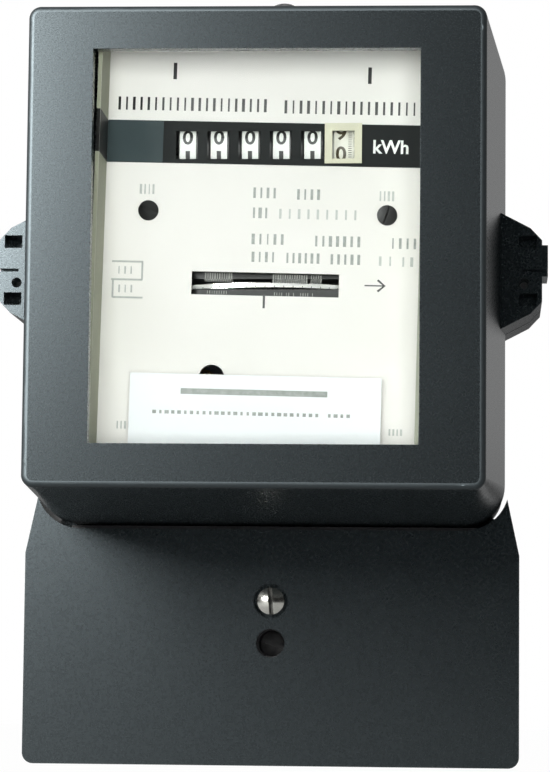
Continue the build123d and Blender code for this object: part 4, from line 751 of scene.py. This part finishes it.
for joint in frame["joints"]:
    if not joint["name"].startswith("drum_"):
        continue
    number = int(joint["name"].split("_")[1])
    x0, y0, z0 = joint["pos_m"]
    rest_turn = -13.0 if number == 1 else 15.5
    aside = -0.0007 if number == 1 else 0.0
    print_mesh = bmesh.new()
    for figure in range(10):
        wide = figure_wide * (one_wide if figure == 1 else 1.0)
        flat = bmesh.new()
        flat.from_mesh(figure_mesh(str(figure), figure_high, wide, figure_weight))
        for cut in range(-4, 5):
            everything = flat.verts[:] + flat.edges[:] + flat.faces[:]
            bmesh.ops.bisect_plane(flat, geom=everything, plane_co=(0, cut * figure_high / 9, 0),
                                   plane_no=(0, 1, 0))
        middle = math.radians(rest_turn - 36 * figure)
        for v in flat.verts:
            angle = middle + v.co.y / drum_radius
            reach = drum_radius + 0.00006
            v.co = (x0 + aside + v.co.x, y0 - reach * math.cos(angle), z0 + reach * math.sin(angle))
        bent = bpy.data.meshes.new("bent")
        flat.to_mesh(bent)
        print_mesh.from_mesh(bent)
        flat.free()
    mesh = bpy.data.meshes.new("drum_figures_%d" % number)
    for face in print_mesh.faces:
        middle = face.calc_center_median()
        outward = middle - Vector((middle.x, y0, z0))
        face.normal_update()
        if face.normal.dot(outward) < 0:
            face.normal_flip()
    print_mesh.to_mesh(mesh)
    print_mesh.free()
    mesh.materials.append(brown_ink if number == 1 else black_ink)
    place_piece("drum_figures_%d" % number, mesh, "drum_%d" % number, closed=False)
    if number > 1:
        ring = hoop((x0, y0, z0), drum_radius + 0.00003, ring_wide, across=True, steps=96)
        ring.materials.append(white_ink)
        place_piece("drum_ring_%d" % number, ring, "drum_%d" % number, closed=False)
    else:
        scale = grown("decimal_scale", mark_ring_tree(), spots("drum_axis", [((0, 0, 0), (0, 0, 0))]),
                      brown_ink, {"marks": 100, "radius": drum_radius + 0.00005, "mark_width": 0.0002,
                                  "mark_height": 0.0009})
        scale.transform(Matrix.Translation((x0 + 0.00165, y0, z0)) @ Matrix.Rotation(math.pi / 2, 4, "Y"))
        place_piece("decimal_scale", scale, "drum_1", closed=False)

# ---------------------------------------------------------------- dial plate
# A folded sheet in off-white stoving enamel, a black band across it for the register, and
# a cream frame round the last figure. It hangs a little clockwise in its slack holes.
enamel_white = finish("off_white_enamel", (0.84, 0.815, 0.79), (0.81, 0.785, 0.755), patch=30,
                      rough=(0.6, 0.7), grain=1800, depth=0.000008, ior=1.2)
wear(enamel_white, "dial_plate")
band_black = finish("band_enamel", (0.007, 0.009, 0.009), (0.011, 0.013, 0.013), patch=60, rough=(0.5, 0.6),
                    ior=1.15)
wear(band_black, "register_mask")
cream = finish("cream_moulding", (0.62, 0.60, 0.44), (0.56, 0.54, 0.40), patch=200, rough=(0.6, 0.7))
wear(cream, "decimal_frame")
screw_black = finish("screw_black", (0.005, 0.005, 0.005), (0.009, 0.009, 0.009), patch=300,
                     rough=(0.5, 0.65), ior=1.3)
plate_screws = place_piece("plate_screws", fasteners("dial_plate_screws", slotted_fastener, screw_black,
                                                     head_height=0.001, crown=0.0003, shank_radius=0.0015,
                                                     slot_width=0.0007, slot_depth=0.0005,
                                                     turns=(0.5, 1.9)), "base", "dial_plate_screws")
dial_tilt = math.radians(1.2)
dial_front = -0.0890


def on_dial(u, w, lift):
    """Where a point of the tilted plate lies, in metres, from millimetres on the plate."""
    x = u * math.cos(dial_tilt) + w * math.sin(dial_tilt)
    z = w * math.cos(dial_tilt) - u * math.sin(dial_tilt)
    return x / 1000, dial_front - lift / 1000, z / 1000


def print_on(name, work, ink):
    """A flat print on the plate, with every face turned to the front."""
    for face in work.faces:
        face.normal_update()
        if face.normal.y > 0:
            face.normal_flip()
    data = bpy.data.meshes.new(name)
    work.to_mesh(data)
    work.free()
    data.materials.append(ink)
    return place_piece(name, data, "base", closed=False)


def printed(name, patches, ink, lift=0.03):
    """Flat printed patches, each one a list of corners in millimetres on the plate."""
    work = bmesh.new()
    for corners in patches:
        work.faces.new([work.verts.new(on_dial(u, w, lift)) for u, w in corners])
    return print_on(name, work, ink)


def bar(u, w, wide, high):
    """The corners of an upright bar about a middle."""
    left, right, foot, top = u - wide / 2, u + wide / 2, w - high / 2, w + high / 2
    return [(left, foot), (right, foot), (right, top), (left, top)]


def tick_row_tree():
    """A row of upright ticks; their widths wander and some are left out, from a fixed seed."""
    tree, given = start_tree("tick_row", ticks=20, pitch=0.002, tick_width=0.0006, tick_height=0.0034,
                             wander=0.0, left_out=0.0, seed=1)
    row = feed(tree, "GeometryNodeMeshLine", {"Count": given["ticks"],
                                              "Offset": point(tree, X=given["pitch"])})
    low = reckon(tree, "SUBTRACT", 1.0, given["wander"])
    high = plus(tree, 1.0, given["wander"])
    low = point(tree, X=low, Y=1.0, Z=1.0)
    high = point(tree, X=high, Y=1.0, Z=1.0)
    widths = feed(tree, "FunctionNodeRandomValue", {"Min": low, "Max": high, "Seed": given["seed"]},
                  data_type="FLOAT_VECTOR")
    chance = tree.nodes.new("FunctionNodeRandomValue")
    chance.data_type = "FLOAT"
    tree.links.new(given["seed"], chance.inputs["Seed"])
    kept = feed(tree, "FunctionNodeCompare", {0: chance.outputs[1], 1: given["left_out"]},
                data_type="FLOAT", operation="GREATER_THAN")
    tick = feed(tree, "GeometryNodeMeshGrid", {"Size X": given["tick_width"],
                                               "Size Y": given["tick_height"], "Vertices X": 2,
                                               "Vertices Y": 2})
    ticks = copied(tree, row, tick, Scale=widths, Selection=kept)
    return end_tree(tree, given, copied(tree, given["Start"], ticks))


tick_row = tick_row_tree()


def tick_rows(name, rows, ink, lift=0.03):
    """Rows of ticks; each has its left u, middle w, ticks, pitch, width, height, wander and left out."""
    whole = bmesh.new()
    for seed, (u, w, ticks, pitch, wide, high, wander, left_out) in enumerate(rows):
        mesh = grown("row", tick_row, spots("row_start", [((u, w, 0), (0, 0, 0))]), ink,
                     {"ticks": ticks, "pitch": pitch, "tick_width": wide, "tick_height": high,
                      "wander": wander, "left_out": left_out, "seed": seed + 3})
        whole.from_mesh(mesh)
    for v in whole.verts:
        v.co = on_dial(v.co.x, v.co.y, lift)
    return print_on(name, whole, ink)


grey_ink = finish("grey_ink", (0.20, 0.22, 0.20), (0.30, 0.32, 0.30), patch=900, rough=(0.5, 0.6))
pale_ink = finish("pale_ink", (0.38, 0.40, 0.38), (0.48, 0.50, 0.47), patch=900, rough=(0.5, 0.6))
printed("dial_ticks", [bar(-24.2, 49.1, 0.95, 4.4), bar(27.0, 48.8, 0.95, 4.4)], black_ink)
tick_rows("heading_ticks", [(-38.6, 40.3, 21, 1.92, 0.62, 3.5, 0.35, 0.0),
                            (5.2, 40.1, 19, 1.98, 0.62, 3.5, 0.35, 0.0)], black_ink)
tick_rows("line_ticks", [(-2.3, 17.2, 4, 1.75, 0.62, 2.8, 0.3, 0.0),
                         (9.2, 17.0, 4, 1.75, 0.62, 2.8, 0.3, 0.0),
                         (-2.3, 11.9, 3, 1.6, 0.7, 2.8, 0.3, 0.0), (-2.3, 5.0, 5, 1.9, 0.62, 2.8, 0.4, 0.0),
                         (14.2, 4.8, 7, 1.85, 0.62, 2.8, 0.4, 0.0),
                         (34.2, 4.6, 4, 1.9, 0.62, 2.8, 0.4, 0.0),
                         (-2.2, 0.3, 4, 1.75, 0.62, 2.7, 0.4, 0.0), (6.8, 0.2, 6, 1.6, 0.62, 2.7, 0.4, 0.0),
                         (18.4, 0.1, 5, 1.75, 0.62, 2.7, 0.4, 0.0)], grey_ink)
tick_rows("faint_ticks", [(4.6, 11.8, 9, 2.45, 0.6, 2.6, 0.3, 0.0),
                          (31.0, -0.1, 2, 2.6, 0.6, 2.5, 0.3, 0.0),
                          (37.0, -0.2, 3, 2.2, 0.6, 2.5, 0.3, 0.0),
                          (-32.2, 17.6, 4, 1.1, 0.45, 2.6, 0.4, 0.0),
                          (30.6, 17.0, 4, 1.1, 0.45, 2.6, 0.4, 0.0),
                          (-37.2, -3.9, 3, 1.6, 0.4, 2.0, 0.3, 0.0),
                          (-37.0, -8.8, 3, 1.6, 0.4, 2.0, 0.3, 0.0),
                          (-36.2, -44.5, 4, 1.0, 0.45, 2.0, 0.4, 0.0),
                          (34.6, -44.7, 4, 1.0, 0.45, 1.7, 0.4, 0.0)], pale_ink)
printed("disc_index", [bar(1.0, -11.35, 0.6, 3.6)], black_ink)
barbs = [[(30.7, -6.6 + side * 1.7), (30.3, -6.6 + side * 1.3), (32.0, -6.6), (32.6, -6.6)]
         for side in (1, -1)]
printed("disc_arrow", [bar(29.6, -6.6, 5.0, 0.35)] + barbs, black_ink)
boxes = [bar(-35.0, -1.65, 8.2, 0.5), bar(-31.1, -4.0, 0.5, 4.8), bar(-35.1, -6.4, 8.2, 0.5),
         bar(-38.7, -8.8, 0.5, 4.8), bar(-34.7, -11.1, 7.9, 0.5)]
printed("circuit_boxes", boxes, pale_ink)
unit_mesh = figure_mesh("kWh", high=0.0036, wide=0.0092, weight=figure_weight)
for v in unit_mesh.vertices:
    v.co = on_dial(33.0 + v.co.x * 1000, 29.9 + v.co.y * 1000, 0.55)
for face in unit_mesh.polygons:
    if face.normal.y > 0:
        face.flip()
unit_mesh.materials.append(white_ink)
place_piece("unit_print", unit_mesh, "base", closed=False)

# ---------------------------------------------------------------- plate edges and the shade behind the slot
# The folded edges are painted a dull green-grey inside and on their fronts: painted shade for the shade
# that falls on them. The black band is carried on across them. Two black strips, on small feet behind
# the slot, hide the works and are painted shade for the dark inside the case; they carry rows of grey marks.
edge_back, edge_front, edge_inner = 89.05, 106.1, 41.5
plate_foot, plate_top = -54.0, 57.0
band_foot, band_top = 24.6, 35.75
# This dull green-grey is painted shade: the folded edges are coloured darker to stand in for the shade that falls
# on them.
folded_edge_shade = finish("folded_edge_painted_shade", (0.40, 0.41, 0.31), (0.36, 0.37, 0.28), patch=60, rough=(0.6, 0.7))


def on_edge(name, side, low_w, high_w, ink, lift=0.03):
    """A painted strip on the inner face of one folded edge."""
    corners = []
    for w, depth in ((low_w, edge_back), (high_w, edge_back), (high_w, edge_front), (low_w, edge_front)):
        x, y, z = on_dial(side * (edge_inner - lift), w, 0)
        corners.append((x, -depth / 1000, z))
    mesh = bpy.data.meshes.new(name)
    mesh.from_pydata(corners, [], [(0, 1, 2, 3)])
    if mesh.polygons[0].normal.x * side > 0:
        mesh.polygons[0].flip()
    mesh.materials.append(ink)
    return place_piece(name, mesh, "base", closed=False)


# A blue-grey patch over the left end of the black band is a painted sheen, standing in for the light that end of
# the band seems to catch.
band_end_sheen = finish("band_end_painted_sheen", (0.042, 0.058, 0.062), (0.050, 0.068, 0.072), patch=80, rough=(0.5, 0.6),
               ior=1.15)
printed("band_end_sheen_patch", [[(-41.4, 24.7), (-26.7, 24.7), (-26.7, 35.65), (-41.4, 35.65)]], band_end_sheen,
        lift=0.53)
# The front edges of the folds, outside the band, take the same painted shade.
enamelled = ((plate_foot, band_foot), (band_top, plate_top))
for ink, name, spans in ((folded_edge_shade, "edge_fronts", enamelled),
                         (black_ink, "edge_fronts_band", ((band_foot, band_top),))):
    fronts = [bar(side * 42.0, (low + high) / 2, 0.98, high - low)
              for side in (-1, 1) for low, high in spans]
    printed(name, fronts, ink, lift=17.24)
# The inner faces of the folds take the painted shade; the band across them is print.
for side, label in ((-1, "left"), (1, "right")):
    on_edge("edge_upper_shaded_" + label, side, band_top, plate_top, folded_edge_shade)
    on_edge("edge_lower_shaded_" + label, side, plate_foot, band_foot, folded_edge_shade)
    on_edge("edge_band_" + label, side, band_foot, band_top, black_ink)
# The black strips are painted shade: dark sheets put behind the slot to stand in for the dark inside the case.
slot_shade_black = finish("slot_shade_black", (0.006, 0.006, 0.006), (0.010, 0.010, 0.010), patch=200,
                     rough=(0.7, 0.8))
shade_sheet_work = bmesh.new()
strip = (1.0, 86.8, 46.0, 0.6)       # middle, depth, width, thickness
strip_feet = ((-21.3, 87.55, 1.4, 0.95), (23.3, 87.55, 1.4, 0.95))
for low, high in ((-5.2, 0.5), (-13.5, -8.0)):
    for middle, deep, wide, thick in (strip, *strip_feet):
        at = Matrix.Translation((middle / 1000, -deep / 1000, (low + high) / 2000))
        size = Matrix.Diagonal((wide / 1000, thick / 1000, (high - low) / 1000, 1))
        bmesh.ops.create_cube(shade_sheet_work, size=1.0, matrix=at @ size)
shade_sheet_data = bpy.data.meshes.new("slot_shade_sheet")
shade_sheet_work.to_mesh(shade_sheet_data)
shade_sheet_work.free()
shade_sheet_data.materials.append(slot_shade_black)
place_piece("slot_shade_sheet", shade_sheet_data, "base", closed=True)
shade_sheet_grey = finish("shade_sheet_grey", (0.16, 0.16, 0.15), (0.24, 0.24, 0.22), patch=900, rough=(0.6, 0.7))
tick_rows("shade_sheet_marks", [(-14.6, -5.0, 12, 0.62, 0.36, 2.4, 0.3, 0.0),
                          (3.2, -5.1, 21, 0.62, 0.36, 2.2, 0.3, 0.1),
                          (-14.0, -9.0, 9, 0.62, 0.2, 0.9, 0.3, 0.3),
                          (3.6, -9.2, 17, 0.62, 0.2, 1.0, 0.3, 0.3)], shade_sheet_grey, lift=-1.87)

# ---------------------------------------------------------------- label plate
# A plain white plate, thin as card, on two posts in front of the dial's foot. A grey bar and
# a row of dashes are printed on it.
label_lift = 4.74
label_white = finish("label_white", (0.90, 0.92, 0.94), (0.87, 0.89, 0.91), patch=50, rough=(0.6, 0.7),
                     ior=1.2)
wear(label_white, "label_plate")
printed("label_rules", [bar(-0.5, -35.7, 38, 1.5)], grey_ink, lift=label_lift)
tick_rows("label_ticks", [(-26.2, -41.2, 33, 1.62, 0.9, 0.9, 0.45, 0.06)], grey_ink, lift=label_lift)

# ---------------------------------------------------------------- floor, light and camera
# A pale matt floor just under the meter. One panel gives the black faces their sheen, two light
# the colours, and what the faces mirror is brighter behind the meter than before it.
floor_level = cad_box[0][2] - 0.0004
floor_corners = [(x, y, floor_level) for x, y in ((-0.7, -0.4), (0.7, -0.4), (0.7, 1.0), (-0.7, 1.0))]
floor_mesh = bpy.data.meshes.new("floor")
floor_mesh.from_pydata(floor_corners, [], [(0, 1, 2, 3)])
floor = bpy.data.objects.new("floor", floor_mesh)
bpy.context.scene.collection.objects.link(floor)
pale = bpy.data.materials.new("pale_floor")
pale.use_nodes = True
tree = pale.node_tree
matt = tree.nodes["Principled BSDF"]
matt.inputs["Base Color"].default_value = (0.8, 0.8, 0.8, 1)
matt.inputs["Roughness"].default_value = 0.9
glow = feed(tree, "ShaderNodeEmission", {"Color": (1, 1, 1, 1)})


def ray(tree, kind):
    """One for a ray of this kind, and nought for any other."""
    return feed(tree, "ShaderNodeLightPath", outlet="Is %s Ray" % kind)


def more_of(tree, one, other):
    """The greater of two values."""
    return reckon(tree, "MAXIMUM", one, other)


shown = more_of(tree, ray(tree, "Camera"), times(tree, ray(tree, "Glossy"), 0.2))
shown = times(tree, more_of(tree, shown, ray(tree, "Transmission")), 0.985)
surface = feed(tree, "ShaderNodeMixShader", {"Fac": shown, 1: matt.outputs["BSDF"], 2: glow})
tree.links.new(surface, tree.nodes["Material Output"].inputs["Surface"])
floor_mesh.materials.append(pale)

world = bpy.data.worlds.new("studio")
bpy.context.scene.world = world
world.use_nodes = True
tree = world.node_tree
air = tree.nodes["Background"]
air.inputs["Color"].default_value = (1, 1, 1, 1)
way = feed(tree, "ShaderNodeTexCoord", outlet="Generated")
along = feed(tree, "ShaderNodeVectorMath", {0: way, 1: (0.45, 1.0, 0.0)}, outlet="Value",
             operation="DOT_PRODUCT")
behind = feed(tree, "ShaderNodeMapRange", {"Value": along, "From Min": -0.15, "From Max": 0.35,
                                           "To Min": 0.015, "To Max": 0.45})
height = feed(tree, "ShaderNodeSeparateXYZ", {0: way}, outlet="Z")
rise = feed(tree, "ShaderNodeMapRange", {"Value": height, "From Min": -0.02, "From Max": 0.08,
                                         "To Min": 0.15})
mirror_ray = more_of(tree, ray(tree, "Glossy"), ray(tree, "Transmission"))
lit = feed(tree, "ShaderNodeMix", {0: mirror_ray, 2: 0.2, 3: times(tree, behind, rise)}, data_type="FLOAT")
shown = feed(tree, "ShaderNodeMix", {0: ray(tree, "Camera"), 2: lit, 3: 1.0}, data_type="FLOAT")
tree.links.new(shown, air.inputs["Strength"])


def panel(name, place, size, watts, sheen, colour, aim=(0, -0.09, 0)):
    """A soft panel that faces a point; it may serve for the sheen or for the colour alone."""
    light = bpy.data.lights.new(name, "AREA")
    light.shape = "RECTANGLE"
    light.size, light.size_y = size
    light.energy = watts
    holder = bpy.data.objects.new(name, light)
    holder.location = place
    holder.rotation_euler = (Vector(aim) - Vector(place)).to_track_quat("-Z", "Y").to_euler()
    holder.visible_glossy = sheen
    holder.visible_diffuse = colour
    holder.visible_transmission = colour
    bpy.context.scene.collection.objects.link(holder)


panel("sheen_panel", (-0.28, -0.50, 0.15), (0.16, 0.26), watts=14.4, sheen=True, colour=False,
      aim=(-0.03, -0.11, 0.0))
panel("front_panel", (0.03, -1.3, -0.07), (0.6, 0.5), watts=16.4, sheen=False, colour=True)
panel("side_panel", (-0.45, -1.2, 0.02), (0.3, 0.3), watts=0.8, sheen=False, colour=True)

camera = bpy.data.cameras.new("camera")
camera.sensor_width = 36.0
camera.lens = 153.1678756
camera.shift_x = 0.0090
camera.shift_y = -0.0803
camera.clip_start, camera.clip_end = 0.01, 50
eye = bpy.data.objects.new("camera", camera)
turn = Matrix.Identity(4)
for degrees, axis in ((3.84, "Z"), (6.39, "X"), (-0.58, "Y"), (90, "X")):
    turn = turn @ Matrix.Rotation(math.radians(degrees), 4, axis)
eye.matrix_world = Matrix.Translation((0.0588, -0.9364, -0.1124)) @ turn
bpy.context.scene.collection.objects.link(eye)
bpy.context.scene.camera = eye
bpy.context.scene.view_settings.view_transform = "Standard"

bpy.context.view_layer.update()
import json
